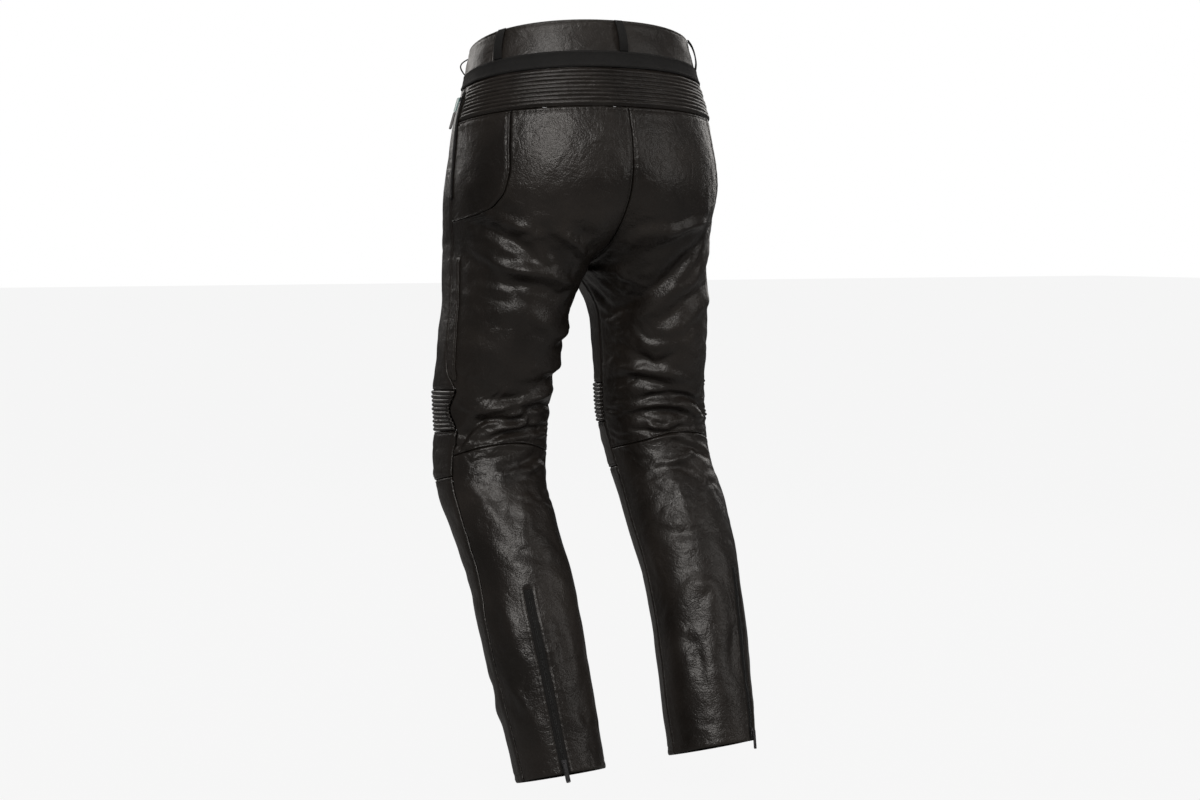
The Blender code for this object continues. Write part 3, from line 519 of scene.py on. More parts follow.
    def freedom(self, side: Side, turn: Array, down: Array) -> Array:
        """How freely the leather may move: not beside the middle seam, a slider or the waist."""
        cut = self.form.cut(side, down)
        degree = self.form.degree(side, turn, down)
        to_middle = np.minimum(turn + cut, 180 + cut - turn) * degree
        middle = np.where(down < CROTCH + 20, np.clip(to_middle / self.MIDDLE_FADE, 0, 1), 1.0)
        inseam = np.where(down >= CROTCH, 0.25 + 0.75 * np.clip(to_middle / 10, 0, 1), 1.0)
        waist = 0.12 + 0.88 * np.clip((down - self.WAIST_FADE[0]) / np.ptp(self.WAIST_FADE), 0, 1)
        to_slider = np.hypot((turn - LEG_ZIP_TURN[side]) * degree, down - HEM)
        still = 1 - 0.9 * np.exp(-((to_slider / self.STILL_RADIUS) ** 2))
        return middle * inseam * waist * still


class Finishing(Enum):
    """How an edge of a cut piece is sewn."""

    SUNK = "sunk"
    STITCHED = "stitched"
    PIPED = "piped"
    HEMMED = "hemmed"
    PLAIN = "plain"

    def profile(self, gap: Array) -> Array:
        """The height beside the edge.

        Args:
            gap: Distances from the edge.

        Returns:
            The heights, positive outwards.
        """

        def bump(centre: float, wide: float) -> Array:
            """A soft bump."""
            return np.exp(-(((gap - centre) / wide) ** 2))

        if self is Finishing.SUNK:
            return -1.5 * bump(0, 1.1) + 0.35 * bump(3.5, 2.2)
        if self is Finishing.STITCHED:
            return -1.5 * bump(0, 1.0) + 0.5 * bump(1.9, 1.0) - 0.45 * bump(3.6, 0.9) + 0.55 * bump(7, 3.5)
        if self is Finishing.PIPED:
            return -1.2 * bump(0, 0.7) + 1.1 * bump(1.7, 1.0) - 0.6 * bump(4.0, 1.1) + 0.4 * bump(8, 3)
        if self is Finishing.HEMMED:
            return -0.7 * bump(0, 0.8) + 0.4 * bump(5, 3.5) - 0.5 * bump(9.5, 1.0) + 0.3 * bump(13, 2.5)
        return -0.5 * bump(0, 0.7)


def level(value: float) -> Edge:
    """An edge or line that stays at one value."""
    return lambda place: np.full(np.shape(place), float(value))


STITCH_OFFSET = 3.6
EDGE_STATIONS = (0.0, 0.7, 1.4, 2.3, 3.2, 4.1, 5.4)


def stations(long: float, spacing: float) -> Array:
    """Places along a length, close together beside both of its ends.

    Args:
        long: The length.
        spacing: The distance between places away from the ends.

    Returns:
        The places, from 0 to the length.
    """
    edge = np.array(EDGE_STATIONS)
    inner = long - 2 * edge[-1]
    if inner < spacing:
        return np.linspace(0, long, max(3, round(long / 1.2)))
    middle = np.linspace(edge[-1], long - edge[-1], max(2, round(inner / spacing) + 1))
    return np.concatenate([edge[:-1], middle, long - edge[-2::-1]])


class Cloth(NamedTuple):
    """A cut piece on the form: its points as rows and columns, and the size it was cut to."""

    points: Array
    wide: float
    long: float
    area: float


class Tailor:
    """Cuts pieces on the form and turns them into named meshes on their bodies."""

    def __init__(self, form: Form, relief: Relief) -> None:
        """Keeps the form and the relief that every piece shares."""
        self.form = form
        self.relief = relief

    def lifted(self, side: Side, turn: Array, down: Array, lift: Array | float = 0.0) -> Array:
        """Points on the leather, moved out by lift and kept on their own side."""
        out = self.form.axes(side, turn, down)[2]
        height = self.relief.height(side, turn, down) + lift
        points = self.form.point(side, turn, down) + out * height[..., None]
        points[..., 0] = side.value * np.maximum(points[..., 0] * side.value, HALF_GAP)
        return points

    def round_places(self, angle: Array, down: Array) -> tuple[Array, Array]:
        """The side and turn of angles round the torso, from 0 at the back, positive to the left.

        Args:
            angle: Angles in degrees, up to 360 either way.
            down: Distances below the waist.

        Returns:
            True where the place is on the left, and the turns.
        """
        left = (angle >= 0) & (angle <= 180)
        share = np.where(np.abs(angle) <= 180, np.abs(angle), 360 - np.abs(angle)) / 180
        cut = self.form.cut(Side.LEFT, down)
        return left, -cut + share * (180 + 2 * cut)

    def round_points(self, angle: Array, down: Array, lift: Array | float) -> Array:
        """Points on a band round the torso, moved out by lift."""
        angle, down, lift = np.broadcast_arrays(angle, down, lift)
        left, turn = self.round_places(angle, down)
        points = np.zeros((*angle.shape, 3))
        for side in Side:
            here = left == (side is Side.LEFT)
            out = self.form.axes(side, turn[here], down[here])[2]
            height = self.relief.height(side, turn[here], down[here]) + lift[here]
            points[here] = self.form.point(side, turn[here], down[here]) + out * height[:, None]
        return points

    def grid(self, name: str, points: Array) -> bpy.types.Mesh:
        """A sheet of quads through rows of points.

        Args:
            name: The mesh's name.
            points: Points in millimetres, by row and column.

        Returns:
            The mesh, smooth shaded, with a cloth UV map in metres.
        """
        rows, columns = points.shape[0] - 1, points.shape[1] - 1
        sheet = bmesh.new()
        bmesh.ops.create_grid(sheet, x_segments=columns, y_segments=rows, size=0.5)
        spots = {
            vert: (round((vert.co.x + 0.5) * columns), round((vert.co.y + 0.5) * rows))
            for vert in sheet.verts
        }
        across = np.linalg.norm(np.diff(points, axis=1), axis=-1).mean(0).cumsum()
        along = np.linalg.norm(np.diff(points, axis=0), axis=-1).mean(1).cumsum()
        across, along = np.concatenate([[0], across]) * MM, np.concatenate([[0], along]) * MM
        layer = sheet.loops.layers.uv.new("cloth")
        for face in sheet.faces:
            face.smooth = True
            for corner in face.loops:
                column, row = spots[corner.vert]
                corner[layer].uv = (across[column], along[row])
        for vert in sheet.verts:
            column, row = spots[vert]
            vert.co = points[row, column] * MM
        mesh = bpy.data.meshes.new(name)
        sheet.to_mesh(mesh)
        sheet.free()
        return mesh

    def dress(
        self,
        mesh: bpy.types.Mesh,
        node: str | None,
        material: bpy.types.Material,
        slot: str,
        body: str = "trousers",
        wall: float = 0.0,
    ) -> bpy.types.Object:
        """A finished piece in place of its solid.

        Args:
            mesh: The piece's mesh, in metres.
            node: The solid that it stands for, if it stands for one.
            material: Its finish.
            slot: The record's material slot; not used.
            body: The body that it rides on.
            wall: The thickness of its cloth, for an open sheet.

        Returns:
            The object.
        """
        mesh.materials.clear()
        mesh.materials.append(material)
        piece = bpy.data.objects.new(mesh.name, mesh)
        bpy.context.scene.collection.objects.link(piece)
        if wall:
            solid = piece.modifiers.new("Wall", "SOLIDIFY")
            solid.thickness = wall * MM
            solid.offset = -1
        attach(piece, body)
        if node:
            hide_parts(node)
        LOG.info("%s: %d faces", mesh.name, len(mesh.polygons))
        return piece


@dataclass
class Panel:
    """A leather piece of one half, between two lengthwise edges and two edges across."""

    node: str
    side: Side
    near: Edge
    far: Edge
    top: Edge
    foot: Edge
    near_edge: Finishing = Finishing.SUNK
    far_edge: Finishing = Finishing.SUNK
    top_edge: Finishing = Finishing.SUNK
    foot_edge: Finishing = Finishing.SUNK
    spacing: float = 4.0
    rows: Array | None = None
    raised: Callable[[Array, Array], Array] | None = None
    pucker: float = 0.22
    SAMPLES = 60

    def places(self, form: Form) -> dict[str, Array]:
        """The places of the panel's grid and their distances from its edges.

        Args:
            form: The form that it is cut on.

        Returns:
            Arrays named turn, down, near, far, top and foot.
        """
        middle = 0.5 * (self.near(np.array(600.0)) + self.far(np.array(600.0)))
        high, low = float(self.top(np.array(middle))), float(self.foot(np.array(middle)))
        rows = self.rows if self.rows is not None else stations(low - high, self.spacing)
        share = (rows / rows[-1])[:, None]
        level = high + (low - high) * share[:, 0]
        samples = np.linspace(0, 1, self.SAMPLES)
        turns = self.near(level)[:, None] + (self.far(level) - self.near(level))[:, None] * samples
        line = form.point(self.side, turns, level[:, None])
        steps = np.linalg.norm(np.diff(line, axis=1), axis=-1)
        lengths = np.concatenate([np.zeros((len(level), 1)), steps.cumsum(1)], 1)
        wide = lengths[:, -1]
        columns = stations(float(wide.mean()), self.spacing)
        edge = len(EDGE_STATIONS) - 1
        count = len(columns)
        offsets = np.repeat(columns[None, :], len(level), 0)
        inner = (np.arange(count) - edge) / (count - 1 - 2 * edge)
        body = EDGE_STATIONS[-1] + inner * (wide[:, None] - 2 * EDGE_STATIONS[-1])
        offsets[:, edge : count - edge] = body[:, edge : count - edge]
        offsets[:, count - edge :] = wide[:, None] - columns[:edge][::-1]
        part = np.stack([np.interp(offsets[i], lengths[i], samples) for i in range(len(level))])
        down = np.repeat(level[:, None], count, 1)
        for _ in range(3):
            turn = self.near(down) + (self.far(down) - self.near(down)) * part
            down = self.top(turn) + (self.foot(turn) - self.top(turn)) * share
        return {
            "turn": turn,
            "down": down,
            "near": offsets,
            "far": wide[:, None] - offsets,
            "top": down - self.top(turn),
            "foot": self.foot(turn) - down,
        }

    def cut(self, tailor: Tailor) -> Cloth:
        """The panel's points with its folds, edges and puckers.

        Args:
            tailor: Where the form and relief are.

        Returns:
            The cloth.
        """
        at = self.places(tailor.form)
        along = {"near": at["down"], "far": at["down"], "top": at["near"], "foot": at["near"]}
        lift = np.zeros(at["turn"].shape)
        for name, run in along.items():
            lift += getattr(self, f"{name}_edge").profile(at[name])
            close = np.sin(run / 1.25 + 1.6 * np.sin(run / 17))
            ripple = close + 0.7 * np.sin(run / 2.3 + 2 * np.sin(run / 29))
            lift += self.pucker * ripple * np.exp(-((at[name] - 4.5) / 4.0) ** 2)
        if self.raised:
            lift += self.raised(at["turn"], at["down"])
        points = tailor.lifted(self.side, at["turn"], at["down"], lift)
        smooth = tailor.form.point(self.side, at["turn"], at["down"])
        if self.side is Side.RIGHT:
            points, smooth = points[:, ::-1], smooth[:, ::-1]
        return measured(points, smooth)


def measured(points: Array, smooth: Array) -> Cloth:
    """A cloth with the size of the flat piece it was cut from.

    Args:
        points: Its points, folded.
        smooth: The same points on the smooth form.

    Returns:
        The cloth.
    """
    across = np.linalg.norm(np.diff(smooth, axis=1), axis=-1)
    along = np.linalg.norm(np.diff(smooth, axis=0), axis=-1)
    wide, long = across.sum(1).max(), along.sum(0).max()
    cells = np.cross(smooth[1:, 1:] - smooth[:-1, :-1], smooth[1:, :-1] - smooth[:-1, 1:])
    area = np.linalg.norm(cells, axis=-1).sum() / 2
    return Cloth(points, wide * MM, long * MM, min(area, wide * long) * MM**2)


class Socket:
    """A shader output, or a plain number, that can stand in sums."""

    def __init__(self, tree: "Shader", source: bpy.types.NodeSocket | float) -> None:
        """Keeps the tree and the socket or number."""
        self.tree = tree
        self.source = source

    def joined(self, operation: str, *others: "Socket | float") -> "Socket":
        """A Math node on this socket and the others."""
        values = {index: value for index, value in enumerate((self, *others))}
        return self.tree.add("ShaderNodeMath", {"operation": operation}, values)

    def __add__(self, other: "Socket | float") -> "Socket":
        """The sum."""
        return self.joined("ADD", other)

    def __radd__(self, other: float) -> "Socket":
        """The sum, reflected."""
        return self.joined("ADD", other)

    def __sub__(self, other: "Socket | float") -> "Socket":
        """The difference."""
        return self.joined("SUBTRACT", other)

    def __rsub__(self, other: float) -> "Socket":
        """The difference, reflected."""
        return Socket(self.tree, other).joined("SUBTRACT", self)

    def __mul__(self, other: "Socket | float") -> "Socket":
        """The product."""
        return self.joined("MULTIPLY", other)

    def __rmul__(self, other: float) -> "Socket":
        """The product, reflected."""
        return self.joined("MULTIPLY", other)

    def __pow__(self, other: float) -> "Socket":
        """The power."""
        return self.joined("POWER", other)


class Shader:
    """A Principled material under construction."""

    def __init__(self, name: str) -> None:
        """Makes a material with its default shader."""
        self.material = bpy.data.materials.new(name)
        self.material.use_nodes = True
        self.nodes = self.material.node_tree.nodes
        self.links = self.material.node_tree.links
        self.surface = self.nodes["Principled BSDF"]

    def add(
        self, kind: str, settings: dict | None = None, inputs: dict | None = None, output: int | str = 0
    ) -> Socket:
        """A node of any type.

        Args:
            kind: The node's type.
            settings: Its properties. Stops are a ramp's (place, grey) pairs.
            inputs: Values or links for its sockets, by name or number.
            output: The output to hand back.

        Returns:
            That output.
        """
        node = self.nodes.new(kind)
        for name, value in (settings or {}).items():
            if name == "stops":
                ramp = node.color_ramp
                for index, (place, grey) in enumerate(value):
                    stop = ramp.elements[index] if index < 2 else ramp.elements.new(place)
                    stop.position = place
                    stop.color = (grey, grey, grey, 1)
            else:
                setattr(node, name, value)
        for name, value in (inputs or {}).items():
            self.feed(node.inputs[name], value)
        return Socket(self, node.outputs[output])

    def feed(self, socket: bpy.types.NodeSocket, value: object) -> None:
        """Gives a socket a link or a plain value."""
        if isinstance(value, Socket):
            value = value.source
        if isinstance(value, bpy.types.NodeSocket):
            self.links.new(value, socket)
        else:
            socket.default_value = value

    def set(self, **values: object) -> None:
        """Feeds the surface's own sockets, named with underscores for spaces."""
        for name, value in values.items():
            self.feed(self.surface.inputs[name.replace("_", " ")], value)

    def object_place(self) -> Socket:
        """The Object coordinates."""
        return self.add("ShaderNodeTexCoord", output="Object")

    def cloth_place(self) -> Socket:
        """The place on the cloth, in metres across and down."""
        return self.add("ShaderNodeUVMap", {"uv_map": "cloth"})

    def noise(self, place: Socket, scale: float, detail: float = 3.0, distortion: float = 0.0) -> Socket:
        """A noise value."""
        inputs = {"Vector": place, "Scale": scale, "Detail": detail, "Distortion": distortion}
        return self.add("ShaderNodeTexNoise", {}, inputs, "Fac")

    def blend(self, share: Socket | float, first: tuple, second: tuple | Socket) -> Socket:
        """A colour between two."""
        inputs = {"Factor": share, 6: first, 7: second}
        return self.add("ShaderNodeMix", {"data_type": "RGBA"}, inputs, 2)

    def bump(self, height: Socket, strength: float, distance: float, under: Socket | None = None) -> Socket:
        """A Bump node, on top of another one if under is given."""
        inputs = {"Height": height, "Strength": strength, "Distance": distance}
        if under is not None:
            inputs["Normal"] = under
        return self.add("ShaderNodeBump", {}, inputs, "Normal")


@dataclass(frozen=True)
class Leather:
    """Black milled cowhide with a slightly brown, waxy face."""

    name: str = "black_leather"
    dark: tuple = (0.0105, 0.0082, 0.0066, 1)
    worn: tuple = (0.026, 0.021, 0.0175, 1)
    roughness: float = 0.37
    grain: float = 520.0
    grain_strength: float = 0.34

    def make(self) -> bpy.types.Material:
        """The material."""
        shader = Shader(self.name)
        place = shader.object_place()
        patches = shader.noise(place, 9.0, 4.0, 0.6)
        cells = shader.add(
            "ShaderNodeTexVoronoi",
            {"feature": "SMOOTH_F1"},
            {"Vector": place, "Scale": self.grain, "Smoothness": 0.35},
            "Distance",
        )
        veins = shader.add(
            "ShaderNodeTexVoronoi",
            {"feature": "DISTANCE_TO_EDGE"},
            {"Vector": place, "Scale": self.grain * 0.28, "Randomness": 1.0},
            "Distance",
        )
        lines = shader.add("ShaderNodeMath", {"operation": "MINIMUM"}, {0: veins, 1: 0.12}) * 8.0
        fine = shader.noise(place, 900.0, 2.0)
        soft = shader.noise(place, 46.0, 4.0, 0.9)
        crumple = shader.noise(place, 150.0, 3.0, 0.5)
        first = shader.bump(soft, 0.42, 0.0035)
        second = shader.bump(crumple, 0.30, 0.0012, first)
        pebbles = lines * 0.5 + (1 - cells) * 0.9 + fine * 0.25
        third = shader.bump(pebbles, self.grain_strength, 0.0006, second)
        wear = shader.add("ShaderNodeValToRGB", {"stops": ((0.36, 0.0), (0.72, 1.0))}, {"Fac": patches})
        rough = self.roughness + (patches - 0.5) * 0.22 + (crumple - 0.5) * 0.10
        shader.set(
            Base_Color=shader.blend(wear, self.dark, self.worn),
            Roughness=rough,
            Normal=third,
            Specular_IOR_Level=0.46,
        )
        return shader.material


@dataclass(frozen=True)
class Woven:
    """A close woven textile, from matt webbing to zip tape."""

    name: str
    dark: tuple
    light: tuple
    roughness: float = 0.9
    pitch: float = 0.0009
    strength: float = 0.6

    def make(self) -> bpy.types.Material:
        """The material."""
        shader = Shader(self.name)
        cloth = shader.cloth_place()
        place = shader.object_place()
        parts = shader.add("ShaderNodeSeparateXYZ", {}, {0: cloth}, "X")
        node = parts.source.node
        across, along = Socket(shader, node.outputs["X"]), Socket(shader, node.outputs["Y"])
        turns = math.tau / self.pitch
        warp = (across * turns).joined("SINE") * 0.5 + 0.5
        weft = (along * turns * 0.8).joined("SINE") * 0.5 + 0.5
        fuzz = shader.noise(place, 1400.0, 2.0)
        stain = shader.noise(place, 40.0, 3.0)
        height = warp * weft + fuzz * 0.5
        shader.set(
            Base_Color=shader.blend(height * 0.55 + stain * 0.4, self.dark, self.light),
            Roughness=self.roughness - stain * 0.1,
            Normal=shader.bump(height, self.strength, 0.0004),
            Specular_IOR_Level=0.3,
        )
        return shader.material


@dataclass(frozen=True)
class Hard:
    """A moulded plastic or painted metal with light scuffs."""

    name: str
    colour: tuple
    scuffed: tuple
    roughness: float
    metallic: float = 0.0

    def make(self) -> bpy.types.Material:
        """The material."""
        shader = Shader(self.name)
        place = shader.object_place()
        scuffs = shader.noise(place, 260.0, 4.0, 0.3)
        cloud = shader.noise(place, 70.0, 2.0)
        shader.set(
            Base_Color=shader.blend(scuffs, self.colour, self.scuffed),
            Roughness=self.roughness + (cloud - 0.5) * 0.2,
            Metallic=self.metallic,
            Normal=shader.bump(scuffs, 0.15, 0.0003),
        )
        return shader.material


class Finishes:
    """Every finish of the trousers, made once."""

    def __init__(self) -> None:
        """Makes the materials."""
        self.leather = Leather().make()
        self.band = Leather("band_leather", roughness=0.42, grain=600.0, grain_strength=0.28).make()
        webbing = ((0.006, 0.006, 0.0062, 1), (0.020, 0.0195, 0.019, 1))
        tape = ((0.005, 0.005, 0.005, 1), (0.016, 0.0155, 0.015, 1))
        thread = ((0.010, 0.009, 0.008, 1), (0.040, 0.036, 0.032, 1))
        self.textile = Woven("matt_webbing", *webbing, roughness=0.92, pitch=0.0011).make()
        self.tape = Woven("zip_tape", *tape, roughness=0.85, pitch=0.0008).make()
        self.thread = Woven("sewing_thread", *thread, roughness=0.55, pitch=0.0004).make()
        self.metal = Hard("dark_metal", (0.03, 0.03, 0.032, 1), (0.10, 0.10, 0.105, 1), 0.34, 0.9).make()
        self.teeth = Hard("zip_teeth", (0.012, 0.012, 0.012, 1), (0.030, 0.030, 0.030, 1), 0.42).make()
        self.teal = Hard("teal_plastic", (0.10, 0.22, 0.215, 1), (0.17, 0.31, 0.30, 1), 0.38).make()
        self.grey = Hard("grey_rubber", (0.060, 0.054, 0.055, 1), (0.085, 0.078, 0.078, 1), 0.62).make()


class Scatter:
    """Many copies of one small shape, joined as one mesh."""

    def __init__(self, size: tuple[float, float, float], rings: int = 5) -> None:
        """Makes the shape: a low spindle of the given size across, along and out.

        Args:
            size: Its size in millimetres.
            rings: Its number of sides.
        """
        shape = bmesh.new()
        bmesh.ops.create_uvsphere(shape, u_segments=rings, v_segments=4, radius=0.5)
        self.verts = np.array([(v.co.x, v.co.z, v.co.y) for v in shape.verts]) * size
        self.faces = [[v.index for v in reversed(face.verts)] for face in shape.faces]
        shape.free()
        self.points: list[Array] = []

    def add(self, centres: Array, across: Array, along: Array, out: Array) -> None:
        """Adds copies at centres in millimetres, turned to three directions."""
        turned = (
            self.verts[None, :, 0, None] * across[:, None]
            + self.verts[None, :, 1, None] * along[:, None]
            + self.verts[None, :, 2, None] * out[:, None]
        )
        self.points.append(turned + centres[:, None])

    def mesh(self, name: str) -> bpy.types.Mesh:
        """All the copies as one smooth mesh.

        Args:
            name: The mesh's name.

        Returns:
            The mesh.
        """
        points = np.concatenate(self.points) * MM
        count = len(self.verts)
        faces = [
            [index + copy * count for index in face] for copy in range(len(points)) for face in self.faces
        ]
        mesh = bpy.data.meshes.new(name)
        mesh.from_pydata(points.reshape(-1, 3).tolist(), [], faces)
        mesh.uv_layers.new(name="cloth")
        joined = bmesh.new()
        joined.from_mesh(mesh)
        bmesh.ops.recalc_face_normals(joined, faces=list(joined.faces))
        for face in joined.faces:
            face.smooth = True
        joined.to_mesh(mesh)
        joined.free()
        return mesh


@dataclass
class Sewing:
    """The topstitching, gathered while the pieces are cut and made as one mesh a half."""

    tailor: Tailor
    pitch: float = 3.1
    size: tuple[float, float, float] = (0.75, 2.3, 0.6)
    scatters: dict[Side, Scatter] = field(default_factory=dict)

    def __post_init__(self) -> None:
        """Starts an empty line of stitches for each half."""
        self.scatters = {side: Scatter(self.size) for side in Side}

    def line(self, side: Side, turn: Array, down: Array, lift: float = 0.15) -> None:
        """Stitches along a line of places.

        Args:
            side: The half.
            turn: Turns along the line.
            down: Distances below the waist.
            lift: How far the stitches stand off the folded cloth.
        """
        turn, down = np.broadcast_arrays(np.asarray(turn, float), np.asarray(down, float))
        rough = self.tailor.form.point(side, turn, down)
        run = np.concatenate([[0], np.linalg.norm(np.diff(rough, axis=0), axis=-1).cumsum()])
        count = max(2, int(run[-1] / self.pitch))
        at = (np.arange(count) + 0.5) * run[-1] / count
        ends = [np.clip(at + step, 0, run[-1]) for step in (-0.6, 0.6)]
        first, last = (
            self.tailor.lifted(side, np.interp(end, run, turn), np.interp(end, run, down), lift)
            for end in ends
        )
        along = last - first
        along /= np.maximum(np.linalg.norm(along, axis=-1, keepdims=True), 1e-6)
        out = self.tailor.form.axes(side, np.interp(at, run, turn), np.interp(at, run, down))[2]
        across = np.cross(along, out)
        across /= np.linalg.norm(across, axis=-1, keepdims=True)
        self.scatters[side].add((first + last) / 2, across, along, np.cross(across, along))

    def round_line(self, start: float, end: float, down: float, lift: float) -> None:
        """Stitches along a level round the torso, between two angles."""
        for side in Side:
            low, high = (max(start, 0), end) if side is Side.LEFT else (max(-end, 0), -start)
            if high <= low:
                continue
            angles = np.linspace(low, high, 80)
            turns = self.tailor.round_places(angles, np.full(80, float(down)))[1]
            self.line(side, turns, np.full(80, float(down)), lift)

    def beside(self, side: Side, seam: Edge, gap: float, top: float, foot: float, lift: float = 0.15) -> None:
        """Stitches beside a lengthwise seam, gap millimetres along the turn from it."""
        down = np.linspace(top, foot, max(8, int((foot - top) / 6)))
        turn = seam(down)
        self.line(side, turn + gap / self.tailor.form.degree(side, turn, down), down, lift)

    def finish(self, finishes: Finishes) -> None:
        """Makes the two meshes."""
        for side, scatter in self.scatters.items():
            mesh = scatter.mesh(side.name_of("topstitching"))
            self.tailor.dress(mesh, None, finishes.thread, "textile")


@dataclass
class Band:
    """A piece that runs round the torso between two angles and two levels."""

    node: str
    start: float
    end: float
    top: float
    foot: float
    lift: float = 0.0
    spacing: float = 3.2
    rows: Array | None = None
    raised: Callable[[Array, Array], Array] | None = None
    top_edge: Finishing = Finishing.SUNK
    foot_edge: Finishing = Finishing.SUNK
    side_edge: Finishing = Finishing.SUNK
    pucker: float = 0.2

    def cut(self, tailor: Tailor) -> Cloth:
        """The band's points.

        Args:
            tailor: Where the form and relief are.

        Returns:
            The cloth.
        """
        fine = np.linspace(self.start, self.end, 200)
        middle = np.full(200, (self.top + self.foot) / 2)
        line = tailor.round_points(fine, middle, 0.0)
        run = np.concatenate([[0], np.linalg.norm(np.diff(line, axis=0), axis=-1).cumsum()])
        columns = stations(float(run[-1]), self.spacing)
        angles = np.interp(columns, run, fine)
        rows = self.rows if self.rows is not None else stations(self.foot - self.top, self.spacing)
        angle, down = np.meshgrid(angles, self.top + rows)
        across = np.repeat(columns[None], len(rows), 0)
        lift = np.full(angle.shape, float(self.lift))
        gaps = ((self.top_edge, down - self.top, across), (self.foot_edge, self.foot - down, across))
        gaps += ((self.side_edge, across, down), (self.side_edge, run[-1] - across, down))
        for edge, gap, along in gaps:
            lift += edge.profile(gap)
            ripple = np.sin(along / 1.3 + 1.7 * np.sin(along / 19))
            lift += self.pucker * ripple * np.exp(-((gap - 4.5) / 4.0) ** 2)
        if self.raised:
            lift += self.raised(angle, down)
        return measured(tailor.round_points(angle, down, lift), tailor.round_points(angle, down, 0.0))


@dataclass
class Waistband:
    """The leather band round the waist, in a back and two fronts, with its loops and flap."""

    tailor: Tailor
    finishes: Finishes
    sewing: Sewing
    side_seam: float = 66.0
    stitch_down: float = 4.0
    flap_side: float = 101.0
    flap_top: float = 41.0
    flap_foot: float = 62.0
    flap_lift: float = 2.0

    def build(self) -> None:
        """Makes the band, its stitching and the flap over its foot."""
        parts = (
            ("waistband_back", -self.side_seam + 0.1, self.side_seam - 0.1),
            ("waistband_front_left", self.side_seam, 179.88),
            ("waistband_front_right", -179.88, -self.side_seam),
        )
        for node, start, end in parts:
            band = Band(node, start, end, 0, BAND_FOOT - HALF_GAP, spacing=3.0, raised=self.quilt)
            band.top_edge = Finishing.STITCHED
            cloth = band.cut(self.tailor)
            mesh = self.tailor.grid(f"{node}_skin", cloth.points)
            piece = self.tailor.dress(mesh, node, self.finishes.band, "leather", wall=LEATHER_WALL)
        self.sewing.round_line(-179.5, 179.5, self.stitch_down, 0.1)
        for angle in (self.side_seam, -self.side_seam):
            side = Side.LEFT if angle > 0 else Side.RIGHT
            for gap in (-2.6, 2.6):
                self.sewing.beside(side, self.at_angle(angle), gap, 6, 40, 0.25)
        self.flap()

    def at_angle(self, angle: float) -> Edge:
        """The turn of an angle round the torso, over down."""
        return lambda down: self.tailor.round_places(np.full(np.shape(down), abs(angle)), down)[1]

    def quilt(self, angle: Array, down: Array) -> Array:
        """The soft slanting draglines of the stiffened band."""
        slant = np.radians(angle * 9 + down * 7.5)
        cross = np.radians(angle * 5.5 - down * 9 + 40)
        middle = np.sin(math.pi * np.clip(down / BAND_FOOT, 0, 1))
        return middle * (0.55 * np.sin(slant) + 0.45 * np.sin(cross) * np.sin(slant * 0.37) + 0.4)

    def flap(self) -> None:
        """The textile flap, with a bound edge and a hanging lower side."""
        rows = stations(self.flap_foot - self.flap_top, 2.4)
        flap = Band("connector_flap", -self.flap_side, self.flap_side, self.flap_top, self.flap_foot)
        flap.lift, flap.rows, flap.raised = self.flap_lift, rows, self.sway
        flap.top_edge = flap.foot_edge = flap.side_edge = Finishing.PLAIN
        cloth = flap.cut(self.tailor)
        mesh = self.tailor.grid("connector_flap_skin", cloth.points)
        piece = self.tailor.dress(mesh, "connector_flap", self.finishes.textile, "textile", wall=1.2)
        for down in (self.flap_top + 2.2, self.flap_foot - 2.4):
            self.sewing.round_line(-self.flap_side + 1, self.flap_side - 1, down, self.flap_lift + 0.55)

    def sway(self, angle: Array, down: Array) -> Array:
        """The flap's uneven stand off the ribs."""
        share = (down - self.flap_top) / (self.flap_foot - self.flap_top)
        wave = np.sin(np.radians(angle * 11)) + 0.6 * np.sin(np.radians(angle * 23 + 60))
        welt = 0.5 * np.exp(-((share - 0.12) / 0.1) ** 2) + 0.6 * np.exp(-((share - 0.88) / 0.09) ** 2)
        return 0.35 * wave * share + welt


@dataclass
class BeltLoops:
    """Five webbing loops, sewn at their ends and bowed between them."""

    tailor: Tailor
    finishes: Finishes
    wide: float = 12.0
    top: float = 1.0
    foot: float = 41.0
    stand: float = 3.6
    places: tuple[tuple[str, float], ...] = (
        ("belt_loop_centre", 0.0),
        ("belt_loop_side_left", 62.0),
        ("belt_loop_side_right", -62.0),
        ("belt_loop_front_left", 128.0),
        ("belt_loop_front_right", -128.0),
    )

    def build(self) -> None:
        """Makes every loop."""
        for node, angle in self.places:
            self.loop(node, angle)

    def loop(self, node: str, angle: float) -> None:
        """One loop.

        Args:
            node: The solid that it stands for.
            angle: Its angle round the torso.
        """
        side = Side.LEFT if angle >= 0 else Side.RIGHT
        turn = self.tailor.round_places(np.array(angle), np.array(self.top))[1]
        degree = float(self.tailor.form.degree(side, turn, self.top))
        rows = np.linspace(0, 1, 34)
        across = np.linspace(-0.5, 0.5, 13)
        down = self.top + (self.foot - self.top) * rows
        bow = self.stand * np.clip(np.sin(math.pi * rows), 0, 1) ** 0.55
        ends = 0.8 + 0.5 * np.exp(-((rows - 0.5) / 0.42) ** 8)
        ridge = 0.35 * np.exp(-((np.abs(across) - 0.42) / 0.05) ** 2) - 0.5 * (np.abs(across) > 0.49)
        lean = -4.0 * rows if angle == 0 else 0.0 * rows
        angles = angle + (across[None] * self.wide + lean[:, None]) / degree
        lift = 1.0 + (bow * ends)[:, None] + ridge[None] + 1.2
        points = self.tailor.round_points(angles, down[:, None], lift)
        cloth = measured(points, points)
        mesh = self.tailor.grid(f"{node}_skin", points)
        piece = self.tailor.dress(mesh, node, self.finishes.textile, "textile", wall=1.5)


